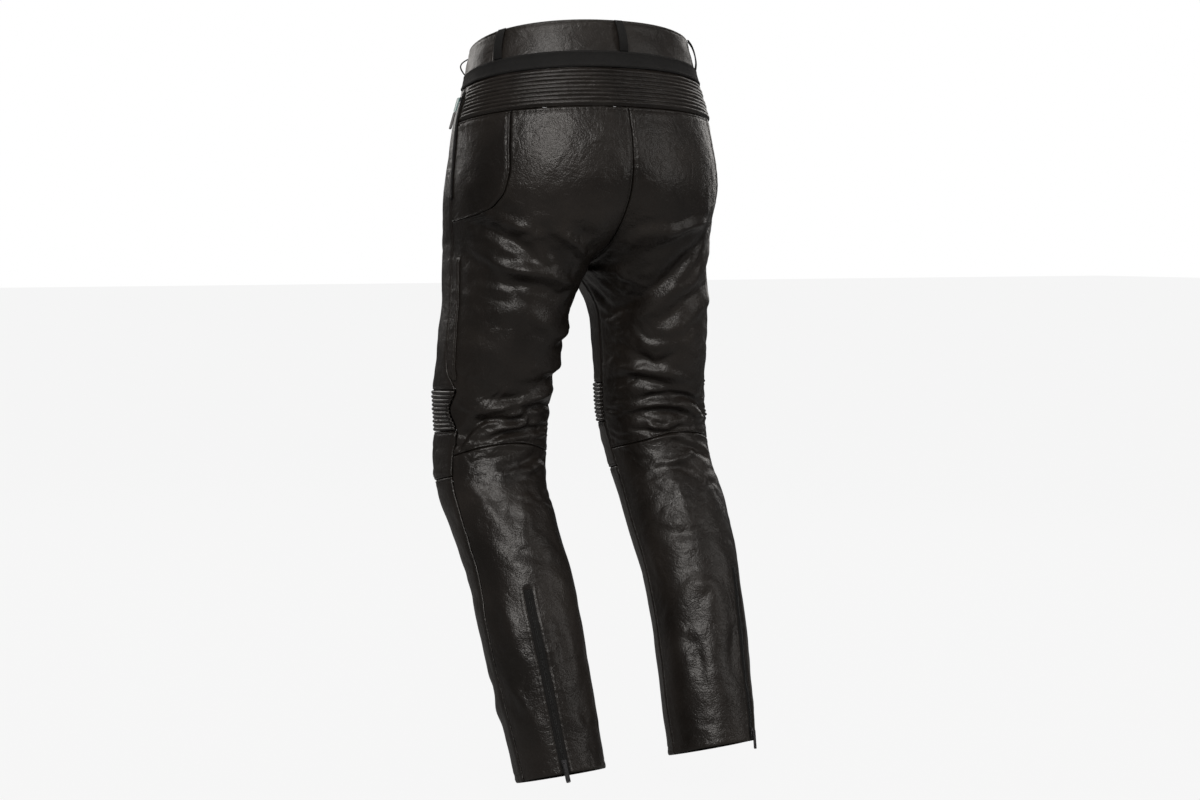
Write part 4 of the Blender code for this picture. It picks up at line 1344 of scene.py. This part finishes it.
@dataclass
class BackRibs:
    """The stretch panel over the seat: rounded ribs with stitching in their valleys."""

    tailor: Tailor
    finishes: Finishes
    sewing: Sewing
    count: int = 9
    top: float = 64.0
    foot: float = 108.0
    high: float = 2.3
    reach: float = 87.4
    edge: float = 90.9
    steps: int = 8

    def build(self) -> None:
        """Makes the panel and its stitching."""
        ribs = np.linspace(self.top, self.foot, self.count * self.steps + 1)
        head = np.array([0, 0.7, 1.4, 2.3, 3.2, 4.1, 6.0, 8.0, 10.0]) + BAND_FOOT + HALF_GAP
        rows = np.concatenate([head, ribs, [108.9, RIBS_FOOT - HALF_GAP]]) - BAND_FOOT - HALF_GAP
        band = Band("rib_panel_back", -self.edge, self.edge, BAND_FOOT + HALF_GAP, RIBS_FOOT - HALF_GAP)
        band.rows, band.raised, band.spacing, band.pucker = rows, self.rolls, 3.0, 0.0
        cloth = band.cut(self.tailor)
        mesh = self.tailor.grid("rib_panel_back_skin", cloth.points)
        piece = self.tailor.dress(mesh, "rib_panel_back", self.finishes.leather, "leather", wall=LEATHER_WALL)
        pitch = (self.foot - self.top) / self.count
        for valley in range(self.count + 1):
            self.sewing.round_line(-self.reach, self.reach, self.top + valley * pitch, 0.0)

    def rolls(self, angle: Array, down: Array) -> Array:
        """The height of the ribs, uneven along their length."""
        share = (down - self.top) / (self.foot - self.top) * self.count
        inside = (down >= self.top) & (down <= self.foot)
        fade = np.clip((self.reach - np.abs(angle)) / 3, 0, 1)
        row = np.floor(share)
        slow = 0.16 * np.sin(np.radians(angle * 7) + row * 1.9)
        uneven = 1 + slow + 0.1 * np.sin(np.radians(angle * 19) + row * 4)
        roll = np.abs(np.sin(math.pi * share)) ** 0.62
        return np.where(inside, self.high * fade * uneven * roll, 0.0)


@dataclass
class Half:
    """The leather of one half: seat, hip, front, knee ribs, knee cap, shin and calf."""

    side: Side
    tailor: Tailor
    finishes: Finishes
    sewing: Sewing
    knee_count: int = 10
    knee_high: float = 2.7
    knee_steps: int = 7
    back_spacing: float = 2.7
    hip_spacing: float = 3.0
    cap_spacing: float = 3.4
    front_spacing: float = 4.2
    hip_gap: float = 0.6

    def build(self) -> None:
        """Makes every panel of the half and its topstitching."""
        form, side = self.tailor.form, self.side
        inner_back, inner_front = form.inner_back(side), form.inner_front(side)
        stitched, piped, sunk = Finishing.STITCHED, Finishing.PIPED, Finishing.SUNK
        under_ribs = level(RIBS_FOOT + HALF_GAP)
        seat = Panel("seat", side, inner_back, self.seat_far, under_ribs, self.knee_foot)
        seat.spacing, seat.raised = self.back_spacing, self.seat_fullness
        seat.top_edge = seat.foot_edge = seat.near_edge = stitched
        self.make(seat)
        hip = Panel("hip", side, self.hip_near, self.outer_back, under_ribs, level(HIP_FOOT - self.hip_gap))
        hip.spacing = self.hip_spacing
        hip.near_edge = hip.top_edge = stitched
        self.make(hip)
        top, foot = level(BAND_FOOT + HALF_GAP), level(KNEE_RIBS_TOP - HALF_GAP)
        front = Panel("front", side, self.outer_front, inner_front, top, foot)
        front.near_edge, front.far_edge, front.foot_edge = piped, sunk, stitched
        front.spacing = self.front_spacing
        self.make(front)
        self.knee_ribs(self.outer_front, inner_front)
        top, foot = level(KNEE_RIBS_FOOT + HALF_GAP), level(CAP_FOOT - HALF_GAP)
        cap = Panel("knee_cap", side, self.outer_front, inner_front, top, foot)
        cap.near_edge, cap.top_edge, cap.foot_edge = piped, stitched, stitched
        cap.spacing, cap.raised = self.cap_spacing, self.cap_dome
        self.make(cap)
        top, foot = level(CAP_FOOT + HALF_GAP), level(HEM)
        shin = Panel("shin", side, self.outer_front, inner_front, top, foot)
        shin.near_edge, shin.top_edge, shin.foot_edge = piped, stitched, Finishing.HEMMED
        shin.spacing = self.front_spacing
        self.make(shin)
        calf = Panel("calf", side, inner_back, self.outer_back, self.knee_top, foot)
        calf.spacing, calf.raised = self.back_spacing, self.zip_channel
        calf.top_edge, calf.foot_edge = sunk, Finishing.HEMMED
        self.make(calf)
        self.topstitch(inner_back, self.seat_far, self.knee_foot)

    def outer_back(self, down: Array) -> Array:
        """The turn of the back's edge at the outseam."""
        return self.tailor.form.trim(self.side, OUTSEAM.at(down), down, -1)

    def outer_front(self, down: Array) -> Array:
        """The turn of the front's edge at the outseam."""
        return self.tailor.form.trim(self.side, OUTSEAM.at(down), down, 1)

    def hip_near(self, down: Array) -> Array:
        """The turn of the hip's edge at the hip seam."""
        return self.tailor.form.trim(self.side, HIP_SEAM.at(down), down, 1)

    def seat_far(self, down: Array) -> Array:
        """The turn of the seat's outer edge: the hip seam, then the outseam."""
        at_hip = self.tailor.form.trim(self.side, HIP_SEAM.at(down), down, -1)
        outer = self.outer_back(down)
        return np.where(np.asarray(down) < HIP_FOOT, np.minimum(outer, at_hip), outer)

    def knee_top(self, turn: Array) -> Array:
        """The level of the calf's top edge, behind the knee."""
        return BACK_KNEE_SEAM.at(turn) + HALF_GAP

    def knee_foot(self, turn: Array) -> Array:
        """The level of the seat's lower edge, behind the knee."""
        return BACK_KNEE_SEAM.at(turn) - HALF_GAP

    def make(self, panel: Panel) -> None:
        """Cuts, meshes and dresses one panel."""
        node = self.side.name_of(panel.node)
        cloth = panel.cut(self.tailor)
        mesh = self.tailor.grid(f"{node}_skin", cloth.points)
        piece = self.tailor.dress(mesh, node, self.finishes.leather, "leather", wall=LEATHER_WALL)

    def knee_ribs(self, near: Edge, far: Edge) -> None:
        """The ribbed stretch panel above the knee.

        Args:
            near: Its edge at the outseam.
            far: Its edge at the inseam.
        """
        top, foot = KNEE_RIBS_TOP + HALF_GAP, KNEE_RIBS_FOOT - HALF_GAP
        panel = Panel("knee_ribs", self.side, near, far, level(top), level(foot), spacing=3.2, pucker=0.0)
        panel.rows = np.linspace(0, foot - top, self.knee_count * self.knee_steps + 1)
        panel.near_edge = Finishing.PIPED
        panel.top_edge = panel.foot_edge = Finishing.PLAIN
        panel.raised = self.rolls
        self.make(panel)
        pitch = (foot - top) / self.knee_count
        for valley in range(1, self.knee_count):
            down = np.full(60, top + valley * pitch)
            turn = np.linspace(float(near(down[:1])[0]) + 3, float(far(down[:1])[0]) - 2, 60)
            self.sewing.line(self.side, turn, down, 0.0)

    def rolls(self, turn: Array, down: Array) -> Array:
        """The height of the knee ribs."""
        share = (down - KNEE_RIBS_TOP) / (KNEE_RIBS_FOOT - KNEE_RIBS_TOP) * self.knee_count
        row = np.floor(share)
        uneven = 1 + 0.14 * np.sin(np.radians(turn * 6) + row * 2.1)
        return self.knee_high * uneven * np.abs(np.sin(math.pi * share)) ** 0.6

    def cap_dome(self, turn: Array, down: Array) -> Array:
        """The knee cap's padded dome."""
        share = (down - KNEE_RIBS_FOOT) / (CAP_FOOT - KNEE_RIBS_FOOT)
        round_turn = np.clip(1 - np.abs(turn - 178) / 74, 0, 1)
        return 2.6 * np.clip(np.sin(math.pi * np.clip(share, 0, 1)), 0, 1) ** 0.6 * round_turn**0.5

    def seat_fullness(self, turn: Array, down: Array) -> Array:
        """A little fullness of the seat beside its middle seam."""
        return 0.5 * np.exp(-((down - 190) / 60) ** 2) * np.exp(-(((turn + 4) / 30) ** 2))

    def zip_channel(self, turn: Array, down: Array) -> Array:
        """The slot of the leg zip, sunk between two puckered welts."""
        degree = self.tailor.form.degree(self.side, turn, down)
        gap = np.abs(turn - LEG_ZIP_TURN[self.side]) * degree
        over = np.clip((down - LEG_ZIP_TOP + 5) / 5, 0, 1)
        half = LEG_ZIP_WIDE / 2
        trench = -2.6 / (1 + np.exp((gap - half + 0.6) / 0.35))
        beyond = gap - half
        roll = 0.9 * np.exp(-(((beyond - 1.6) / 1.3) ** 2)) - 0.45 * np.exp(-(((beyond - 4.6) / 0.9) ** 2))
        wave = np.sin(down / 1.3 + 1.5 * np.sin(down / 15))
        ripple = 0.32 * wave * np.exp(-(((beyond - 3) / 3.2) ** 2))
        return over * (trench + roll + ripple)

    def topstitch(self, inner: Edge, seat_far: Edge, knee: Edge) -> None:
        """The sewing lines of the half.

        Args:
            inner: The back's inner edge.
            seat_far: The seat's outer edge.
            knee: The seat's lower edge, over turn.
        """
        side, sew, form = self.side, self.sewing, self.tailor.form
        sew.beside(side, inner, STITCH_OFFSET, RIBS_FOOT + 4, 300)
        sew.beside(side, HIP_SEAM.at, -STITCH_OFFSET, RIBS_FOOT + 3, 232)
        sew.beside(side, OUTSEAM.at, 4.0, RIBS_FOOT + 3, KNEE_RIBS_TOP - 3, 0.3)
        sew.beside(side, OUTSEAM.at, 4.0, CAP_FOOT + 3, HEM - 4, 0.3)
        for gap, start, end in ((STITCH_OFFSET, -86, 64), (STITCH_OFFSET + 3.4, -86, 64)):
            turn = np.linspace(start, end, 80)
            sew.line(side, turn, knee(turn) - gap, 0.2)
        near = float(seat_far(np.array(RIBS_FOOT + 4)))
        turn = np.linspace(float(inner(np.array(RIBS_FOOT + 4))) + 2, near - 1.5, 60)
        sew.line(side, turn, np.full(60, RIBS_FOOT + STITCH_OFFSET), 0.2)
        for down, gap in ((KNEE_RIBS_TOP, -STITCH_OFFSET), (KNEE_RIBS_FOOT, STITCH_OFFSET)):
            turn = np.linspace(float(OUTSEAM.at(down)) + 4, 262, 80)
            sew.line(side, turn, np.full(80, down + gap), 0.2)
        for gap in (-STITCH_OFFSET, STITCH_OFFSET):
            turn = np.linspace(float(OUTSEAM.at(CAP_FOOT)) + 4, 262, 80)
            sew.line(side, turn, np.full(80, CAP_FOOT + gap), 0.2)
        turn = np.linspace(-86, 264, 200)
        clear = np.abs(turn - LEG_ZIP_TURN[side]) * form.degree(side, turn, HEM) > LEG_ZIP_WIDE
        for part in (turn[turn < LEG_ZIP_TURN[side]], turn[turn > LEG_ZIP_TURN[side]]):
            kept = part[np.isin(part, turn[clear])]
            sew.line(side, kept, np.full(len(kept), HEM - 9.5), -0.1)
        zip_turn, beside_zip = LEG_ZIP_TURN[side], LEG_ZIP_WIDE / 2 + 4.6
        for gap in (-beside_zip, beside_zip):
            sew.beside(side, level(zip_turn), gap, LEG_ZIP_TOP - 5, HEM - 3, -0.05)
        half = beside_zip / float(form.degree(side, zip_turn, LEG_ZIP_TOP))
        sew.line(side, np.linspace(zip_turn - half, zip_turn + half, 12), np.full(12, LEG_ZIP_TOP - 6.0), 0.1)


@dataclass
class Zip:
    """A zip of one half: woven tape, two rows of teeth, slider and pull."""

    side: Side
    tailor: Tailor
    finishes: Finishes
    node: str
    line: Edge
    top: float
    foot: float
    wide: float
    lift: float
    tooth_pitch: float = 2.0
    tooth: tuple[float, float, float] = (2.6, 1.25, 1.3)

    def build(self) -> None:
        """Makes the tape and its teeth."""
        form, side = self.tailor.form, self.side
        down = np.linspace(self.top, self.foot, max(12, int((self.foot - self.top) / 3)))
        turn = self.line(down)
        across = np.linspace(-0.5, 0.5, 13)
        degree = form.degree(side, turn, down)
        turns = turn[:, None] + across[None] * self.wide / degree[:, None]
        ridge = 0.25 * np.exp(-((np.abs(across) - 0.26) / 0.06) ** 2)
        points = self.tailor.lifted(side, turns, down[:, None], self.lift + 0.9 + ridge[None])
        if side is Side.RIGHT:
            points = points[:, ::-1]
        cloth = measured(points, points)
        node = side.name_of(self.node)
        mesh = self.tailor.grid(f"{node}_tape", points)
        piece = self.tailor.dress(mesh, node, self.finishes.tape, "zip_tape", wall=0.8)
        self.teeth()

    def teeth(self) -> None:
        """Two rows of teeth that mesh with each other."""
        scatter = Scatter(self.tooth, 6)
        form = self.tailor.form
        for row in (-1, 1):
            start = self.top + 2 + (0.5 if row > 0 else 0) * self.tooth_pitch
            down = np.arange(start, self.foot - 1, self.tooth_pitch)
            turn = self.line(down)
            turn = turn + row * 1.05 / form.degree(self.side, turn, down)
            across, along, out = form.axes(self.side, turn, down)
            centres = self.tailor.lifted(self.side, turn, down, self.lift + 1.25)
            scatter.add(centres, across, along, out)
        mesh = scatter.mesh(self.side.name_of(f"{self.node}_teeth"))
        self.tailor.dress(mesh, None, self.finishes.teeth, "zip_metal")


@dataclass
class PullSize:
    """A pull piece: its width, length and where it starts below the pivot."""

    wide: float
    long: float
    start: float
    thick: float = 1.6


@dataclass
class Hardware:
    """The sliders and pulls of one half."""

    side: Side
    tailor: Tailor
    finishes: Finishes
    slider: tuple[float, float, float] = (7.0, 11.0, 2.6)
    slider_clear: float = 0.45
    tape: float = 1.0
    pivot_end: float = 0.6
    pivot_up: float = 1.5
    on_top: float = 0.6

    def frame_at(self, turn: float, down: float, lift: float) -> Matrix:
        """The frame at a place on the smooth form, with up along the cloth and out last, in metres."""
        across, along, out = (Vector(axis) for axis in self.tailor.form.axes(self.side, turn, down))
        point = Vector(self.tailor.form.point(self.side, turn, down)) + out * lift
        up = -along
        place = Matrix((up.cross(out), up, out)).transposed().to_4x4()
        place.translation = point * MM
        return place

    def build(self) -> None:
        """Makes the leg zip's and the pocket zip's slider and pull."""
        leg = self.frame_at(LEG_ZIP_TURN[self.side], 998, -1.6 + self.tape + self.slider_clear)
        self.slider_body("calf_slider", leg)
        pocket_turn = float(OUTSEAM.at(80))
        pocket = self.frame_at(pocket_turn, 80, 0.9 + self.tape + self.slider_clear)
        self.slider_body("pocket_slider", pocket)
        up = self.slider[2] + self.on_top + 0.8
        leg_pivot = leg @ Matrix.Translation(Vector((0, self.pivot_up, up)) * MM)
        pocket_pivot = pocket @ Matrix.Translation(Vector((0, self.pivot_up, up)) * MM)
        metal, teal, grey = self.finishes.metal, self.finishes.teal, self.finishes.grey
        leg_tab, head, grip = PullSize(6, 26, 0), PullSize(9, 20, 0), PullSize(8, 24, 20.3)
        self.tab("calf_pull", "leg_pull", leg_pivot, leg_tab, metal, "zip_metal", True)
        self.tab("pocket_pull_head", "pocket_pull", pocket_pivot, head, teal, "teal_plastic", True)
        self.tab("pocket_pull_grip", "pocket_pull", pocket_pivot, grip, grey, "grey_plastic", False)

    def slider_body(self, node: str, place: Matrix) -> None:
        """A slider: a waisted plate with a bridge over it.

        Args:
            node: The solid's name without its side.
            place: Its frame.
        """
        wide, long, high = self.slider
        body = bmesh.new()
        made = bmesh.ops.create_cube(body, size=1)
        bmesh.ops.scale(body, vec=(wide, long, high * 0.55), verts=made["verts"])
        bmesh.ops.translate(body, vec=(0, 0, high * 0.275), verts=made["verts"])
        bmesh.ops.subdivide_edges(body, edges=list(body.edges), cuts=2, use_grid_fill=True)
        for vert in body.verts:
            vert.co.x *= 1 - 0.22 * (1 - abs(vert.co.y) / (long / 2)) - 0.10 * max(0, -vert.co.y / (long / 2))
        bridge = bmesh.ops.create_cube(body, size=1)["verts"]
        bmesh.ops.scale(body, vec=(2.0, long * 0.6, high * 0.5), verts=bridge)
        bmesh.ops.translate(body, vec=(0, 0.6, high * 0.74), verts=bridge)
        edges = [edge for edge in body.edges if edge.calc_face_angle(0) > 0.6]
        bmesh.ops.bevel(body, geom=edges, affect="EDGES", offset=0.35, segments=2, profile=0.5, material=-1)
        self.keep(body, node, "trousers", place, self.finishes.metal, "zip_metal")

    def tab(
        self,
        node: str,
        body_name: str,
        place: Matrix,
        size: PullSize,
        material: bpy.types.Material,
        slot: str,
        window: bool,
    ) -> None:
        """A pull piece: a rounded tab, with a sunk window if it is a head.

        Args:
            node: The solid's name without its side.
            body_name: The moving body's name without its side.
            place: The pivot's frame.
            size: The tab's size.
            material: Its finish.
            slot: The record's material slot.
            window: Says whether its face is sunk.
        """
        tab = bmesh.new()
        made = bmesh.ops.create_cube(tab, size=1)
        bmesh.ops.scale(tab, vec=(size.wide, size.long, size.thick), verts=made["verts"])
        upright = [edge for edge in tab.edges if abs(edge.verts[0].co.z - edge.verts[1].co.z) > 0.1]
        bmesh.ops.bevel(
            tab, geom=upright, affect="EDGES", offset=size.wide * 0.28, segments=4, profile=0.5, material=-1
        )
        faces = [face for face in tab.faces if abs(face.normal.z) > 0.9]
        if window:
            bmesh.ops.inset_region(tab, faces=faces, thickness=size.wide * 0.2, depth=-size.thick * 0.22)
        else:
            bmesh.ops.inset_region(tab, faces=faces, thickness=size.wide * 0.14, depth=0.0)
            bmesh.ops.inset_region(tab, faces=faces, thickness=0.3, depth=-0.2)
        edges = [edge for edge in tab.edges if edge.calc_face_angle(0) > 0.6]
        bmesh.ops.bevel(tab, geom=edges, affect="EDGES", offset=0.22, segments=2, profile=0.5, material=-1)
        below = self.pivot_end - size.start - size.long / 2
        bmesh.ops.translate(tab, vec=(0, below, 0), verts=list(tab.verts))
        self.keep(tab, node, self.side.name_of(body_name), place, material, slot)

    def keep(
        self,
        shape: bmesh.types.BMesh,
        node: str,
        body: str,
        place: Matrix,
        material: bpy.types.Material,
        slot: str,
    ) -> None:
        """Puts a shape in millimetres into its frame and dresses it."""
        bmesh.ops.transform(shape, matrix=place @ Matrix.Scale(MM, 4), verts=list(shape.verts))
        bmesh.ops.recalc_face_normals(shape, faces=list(shape.faces))
        name = self.side.name_of(node)
        mesh = bpy.data.meshes.new(f"{name}_made")
        shape.to_mesh(mesh)
        shape.free()
        self.tailor.dress(mesh, name, material, slot, body)


@dataclass
class Welt:
    """The welt of the vent on the thigh, a rolled strip with a covered zip."""

    side: Side
    tailor: Tailor
    finishes: Finishes
    sewing: Sewing
    wide: float = 8.0

    def build(self) -> None:
        """Makes the strip and its stitching."""
        down = np.linspace(WELT_LINE.knots[0], WELT_LINE.knots[-1], 60)
        turn = WELT_LINE.at(down)
        across = np.linspace(-0.5, 0.5, 15)
        degree = self.tailor.form.degree(self.side, turn, down)
        turns = turn[:, None] + across[None] * self.wide / degree[:, None]
        ends = np.clip(np.minimum(down - down[0], down[-1] - down) / 5, 0, 1)[:, None]
        roll = 0.8 * np.exp(-((np.abs(across) - 0.27) / 0.13) ** 2) - 1.1 * np.exp(-(across / 0.07) ** 2)
        lift = 0.5 + ends * (1.1 + roll[None]) - 0.8 * (np.abs(across) > 0.46)[None]
        points = self.tailor.lifted(self.side, turns, down[:, None], lift)
        if self.side is Side.RIGHT:
            points = points[:, ::-1]
        cloth = measured(points, points)
        node = self.side.name_of("thigh_welt")
        mesh = self.tailor.grid(f"{node}_skin", points)
        piece = self.tailor.dress(mesh, node, self.finishes.leather, "leather", wall=1.0)
        for gap in (-self.wide / 2 - 1.4, self.wide / 2 + 1.4):
            self.sewing.beside(self.side, WELT_LINE.at, gap, down[0] - 2, down[-1] + 2, 0.25)


@dataclass
class FrontClosing:
    """The fly flap, the tab over the waist and its snap button."""

    tailor: Tailor
    finishes: Finishes
    sewing: Sewing
    fly_start: float = 169.5
    fly_end: float = 179.6
    fly_top: float = 54.0
    fly_foot: float = 198.0
    button_angle: float = 185.0
    button_down: float = 26.0

    def build(self) -> None:
        """Makes the three pieces."""
        fly = Band("fly_flap", self.fly_start, self.fly_end, self.fly_top, self.fly_foot)
        fly.lift, fly.spacing = 2.2, 3.5
        fly.top_edge = fly.foot_edge = Finishing.PLAIN
        fly.side_edge = Finishing.PLAIN
        self.keep(fly, self.finishes.leather)
        tab = Band("waist_tab", 170, 190, 10, 42, lift=2.0, spacing=2.4)
        tab.top_edge = tab.foot_edge = tab.side_edge = Finishing.STITCHED
        self.keep(tab, self.finishes.band)
        fly_line = self.at_angle(self.fly_start + 1.2)
        self.sewing.beside(Side.LEFT, fly_line, 0.0, self.fly_top + 3, self.fly_foot - 4, 2.5)
        self.button()

    def at_angle(self, angle: float) -> Edge:
        """The turn of an angle round the torso, over down."""
        return lambda down: self.tailor.round_places(np.full(np.shape(down), angle), down)[1]

    def keep(self, band: Band, material: bpy.types.Material) -> None:
        """Cuts, meshes and dresses one band."""
        cloth = band.cut(self.tailor)
        mesh = self.tailor.grid(f"{band.node}_skin", cloth.points)
        piece = self.tailor.dress(mesh, band.node, material, "leather", wall=1.2)

    def button(self) -> None:
        """The snap button, a turned cap with a sunk ring."""
        low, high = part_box("snap_button")
        left, turn = self.tailor.round_places(np.array(self.button_angle), np.array(self.button_down))
        side = Side.LEFT if bool(left) else Side.RIGHT
        up_axis = Vector(self.tailor.form.axes(side, turn, self.button_down)[2])
        cap = bmesh.new()
        face = ((0.0, 2.3), (2.6, 2.5), (3.2, 3.0), (5.6, 2.8))
        profile = (*face, (6.7, 1.8), (7.0, 0.6), (7.0, 0.0), (0.0, 0.0))
        verts = [cap.verts.new((x, 0, z)) for x, z in profile]
        edges = [cap.edges.new(pair) for pair in zip(verts, verts[1:])]
        bmesh.ops.spin(
            cap, geom=verts + edges, axis=(0, 0, 1), cent=(0, 0, 0), angle=math.tau, steps=32, use_merge=True
        )
        bmesh.ops.remove_doubles(cap, verts=list(cap.verts), dist=0.001)
        turned = up_axis.to_track_quat("Z", "Y").to_matrix().to_4x4()
        place = Matrix.Translation((low + high) / 2 - up_axis * 1.5 * MM) @ turned @ Matrix.Scale(MM, 4)
        bmesh.ops.transform(cap, matrix=place, verts=list(cap.verts))
        bmesh.ops.recalc_face_normals(cap, faces=list(cap.faces))
        for face in cap.faces:
            face.smooth = True
        mesh = bpy.data.meshes.new("snap_button_made")
        cap.to_mesh(mesh)
        cap.free()
        self.tailor.dress(mesh, "snap_button", self.finishes.metal, "zip_metal")


class Softbox(NamedTuple):
    """A soft light: its place and size in metres and its power in watts."""

    name: str
    place: tuple[float, float, float]
    wide: float
    high: float
    power: float


SOFTBOXES = (
    Softbox("key", (1.5, 2.6, 1.55), 1.9, 1.3, 62),
    Softbox("fill", (-1.9, 2.0, 0.5), 0.7, 1.8, 9),
    Softbox("top", (0.1, 0.3, 2.4), 1.4, 1.4, 16),
    Softbox("far_side", (-2.0, -1.2, 0.6), 1.2, 1.8, 14),
    Softbox("front", (0.8, -2.6, 1.0), 1.6, 1.6, 26),
)


@dataclass
class Studio:
    """The floor, the lights and the camera."""

    azimuth: float = math.radians(27)
    distance: float = 2.400
    focal_px: float = 1690.14
    middle_u: float = 581.3
    drop_px: float = 155.0
    camera_z: float = -0.275
    image_wide: float = 1200.0
    floor_z: float = -1.045
    floor_half: float = 30.0
    middle: tuple[float, float, float] = (0.0, 0.03, -0.45)
    light_colour: tuple[float, float, float] = (1.0, 0.965, 0.93)

    def build(self) -> None:
        """Makes the camera, lights, world and floor."""
        self.camera()
        self.world()
        self.floor()
        for light in SOFTBOXES:
            self.softbox(light)

    def camera(self) -> None:
        """The camera at the photograph's place and angle."""
        pitch = math.atan(self.drop_px / self.focal_px)
        yaw = math.atan((self.middle_u - self.image_wide / 2) / self.focal_px * math.cos(pitch))
        right = Vector((-math.cos(self.azimuth), math.sin(self.azimuth), 0))
        ahead = Vector((-math.sin(self.azimuth), -math.cos(self.azimuth), 0))
        turned_right = right * math.cos(yaw) + ahead * math.sin(yaw)
        turned_ahead = ahead * math.cos(yaw) - right * math.sin(yaw)
        up = turned_ahead * math.sin(pitch) + Vector((0, 0, math.cos(pitch)))
        look = turned_ahead * math.cos(pitch) - Vector((0, 0, math.sin(pitch)))
        lens = bpy.data.cameras.new("camera")
        lens.sensor_width = 36.0
        lens.lens = self.focal_px * lens.sensor_width / self.image_wide
        camera = bpy.data.objects.new("camera", lens)
        bpy.context.scene.collection.objects.link(camera)
        place = Matrix((turned_right, up, -look)).transposed().to_4x4()
        place.translation = Vector(
            (self.distance * math.sin(self.azimuth), self.distance * math.cos(self.azimuth), self.camera_z)
        )
        camera.matrix_world = place
        bpy.context.scene.camera = camera

    def softbox(self, box: Softbox) -> None:
        """One rectangular soft light, turned to the object's middle."""
        light = bpy.data.lights.new(box.name, "AREA")
        light.shape = "RECTANGLE"
        light.size, light.size_y = box.wide, box.high
        light.energy = box.power
        light.color = self.light_colour
        lamp = bpy.data.objects.new(box.name, light)
        bpy.context.scene.collection.objects.link(lamp)
        lamp.location = box.place
        lamp.rotation_euler = (Vector(self.middle) - lamp.location).to_track_quat("-Z", "Y").to_euler()

    def world(self) -> None:
        """A white surround to the eye that gives only a little light."""
        world = bpy.data.worlds.new("surround")
        bpy.context.scene.world = world
        world.use_nodes = True
        nodes, links = world.node_tree.nodes, world.node_tree.links
        path = nodes.new("ShaderNodeLightPath")
        mix = nodes.new("ShaderNodeMix")
        mix.inputs["A"].default_value = 0.10
        mix.inputs["B"].default_value = 1.0
        links.new(path.outputs["Is Camera Ray"], mix.inputs["Factor"])
        links.new(mix.outputs["Result"], nodes["Background"].inputs["Strength"])
        nodes["Background"].inputs["Color"].default_value = (1, 1, 1, 1)
        bpy.context.scene.view_settings.view_transform = "Standard"

    def floor(self) -> None:
        """A plain pale floor."""
        ground = bmesh.new()
        bmesh.ops.create_grid(ground, x_segments=1, y_segments=1, size=self.floor_half)
        bmesh.ops.translate(ground, vec=(0, 0, self.floor_z), verts=list(ground.verts))
        mesh = bpy.data.meshes.new("floor")
        ground.to_mesh(mesh)
        ground.free()
        paint = bpy.data.materials.new("floor_paint")
        paint.use_nodes = True
        tree = paint.node_tree
        surface = tree.nodes["Principled BSDF"]
        surface.inputs["Base Color"].default_value = (0.30, 0.30, 0.30, 1)
        surface.inputs["Roughness"].default_value = 0.9
        glow = tree.nodes.new("ShaderNodeEmission")
        glow.inputs["Color"].default_value = (0.97, 0.97, 0.97, 1)
        mix = tree.nodes.new("ShaderNodeMixShader")
        share = tree.nodes.new("ShaderNodeMath")
        share.operation = "MULTIPLY"
        share.inputs[1].default_value = 0.94
        path = tree.nodes.new("ShaderNodeLightPath")
        tree.links.new(path.outputs["Is Camera Ray"], share.inputs[0])
        tree.links.new(share.outputs[0], mix.inputs[0])
        tree.links.new(surface.outputs[0], mix.inputs[1])
        tree.links.new(glow.outputs[0], mix.inputs[2])
        tree.links.new(mix.outputs[0], tree.nodes["Material Output"].inputs["Surface"])
        mesh.materials.append(paint)
        floor = bpy.data.objects.new("floor", mesh)
        bpy.context.scene.collection.objects.link(floor)


def dress_cords(finishes: Finishes) -> None:
    """Gives the brace loops' own solids their cord finish."""
    for side in Side:
        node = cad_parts[side.name_of("brace_loop")]
        node.data.materials.clear()
        node.data.materials.append(finishes.textile)


def main() -> None:
    """Builds every sub-assembly in order."""
    logging.basicConfig(level=logging.INFO, format="%(message)s")
    form = Form()
    tailor = Tailor(form, Relief(form))
    finishes = Finishes()
    sewing = Sewing(tailor)
    Studio().build()
    Waistband(tailor, finishes, sewing).build()
    BeltLoops(tailor, finishes).build()
    BackRibs(tailor, finishes, sewing).build()
    for side in Side:
        Half(side, tailor, finishes, sewing).build()
        leg_line = level(LEG_ZIP_TURN[side])
        Zip(side, tailor, finishes, "calf_zip", leg_line, LEG_ZIP_TOP + 0.35, HEM, 12.3, -1.6).build()
        Zip(side, tailor, finishes, "pocket_zip", OUTSEAM.at, 68, 213, 7.0, 0.9, 1.6, (1.9, 1.0, 1.0)).build()
        Welt(side, tailor, finishes, sewing).build()
        Hardware(side, tailor, finishes).build()
    FrontClosing(tailor, finishes, sewing).build()
    dress_cords(finishes)
    sewing.finish(finishes)


if __name__ == "__main__":
    main()
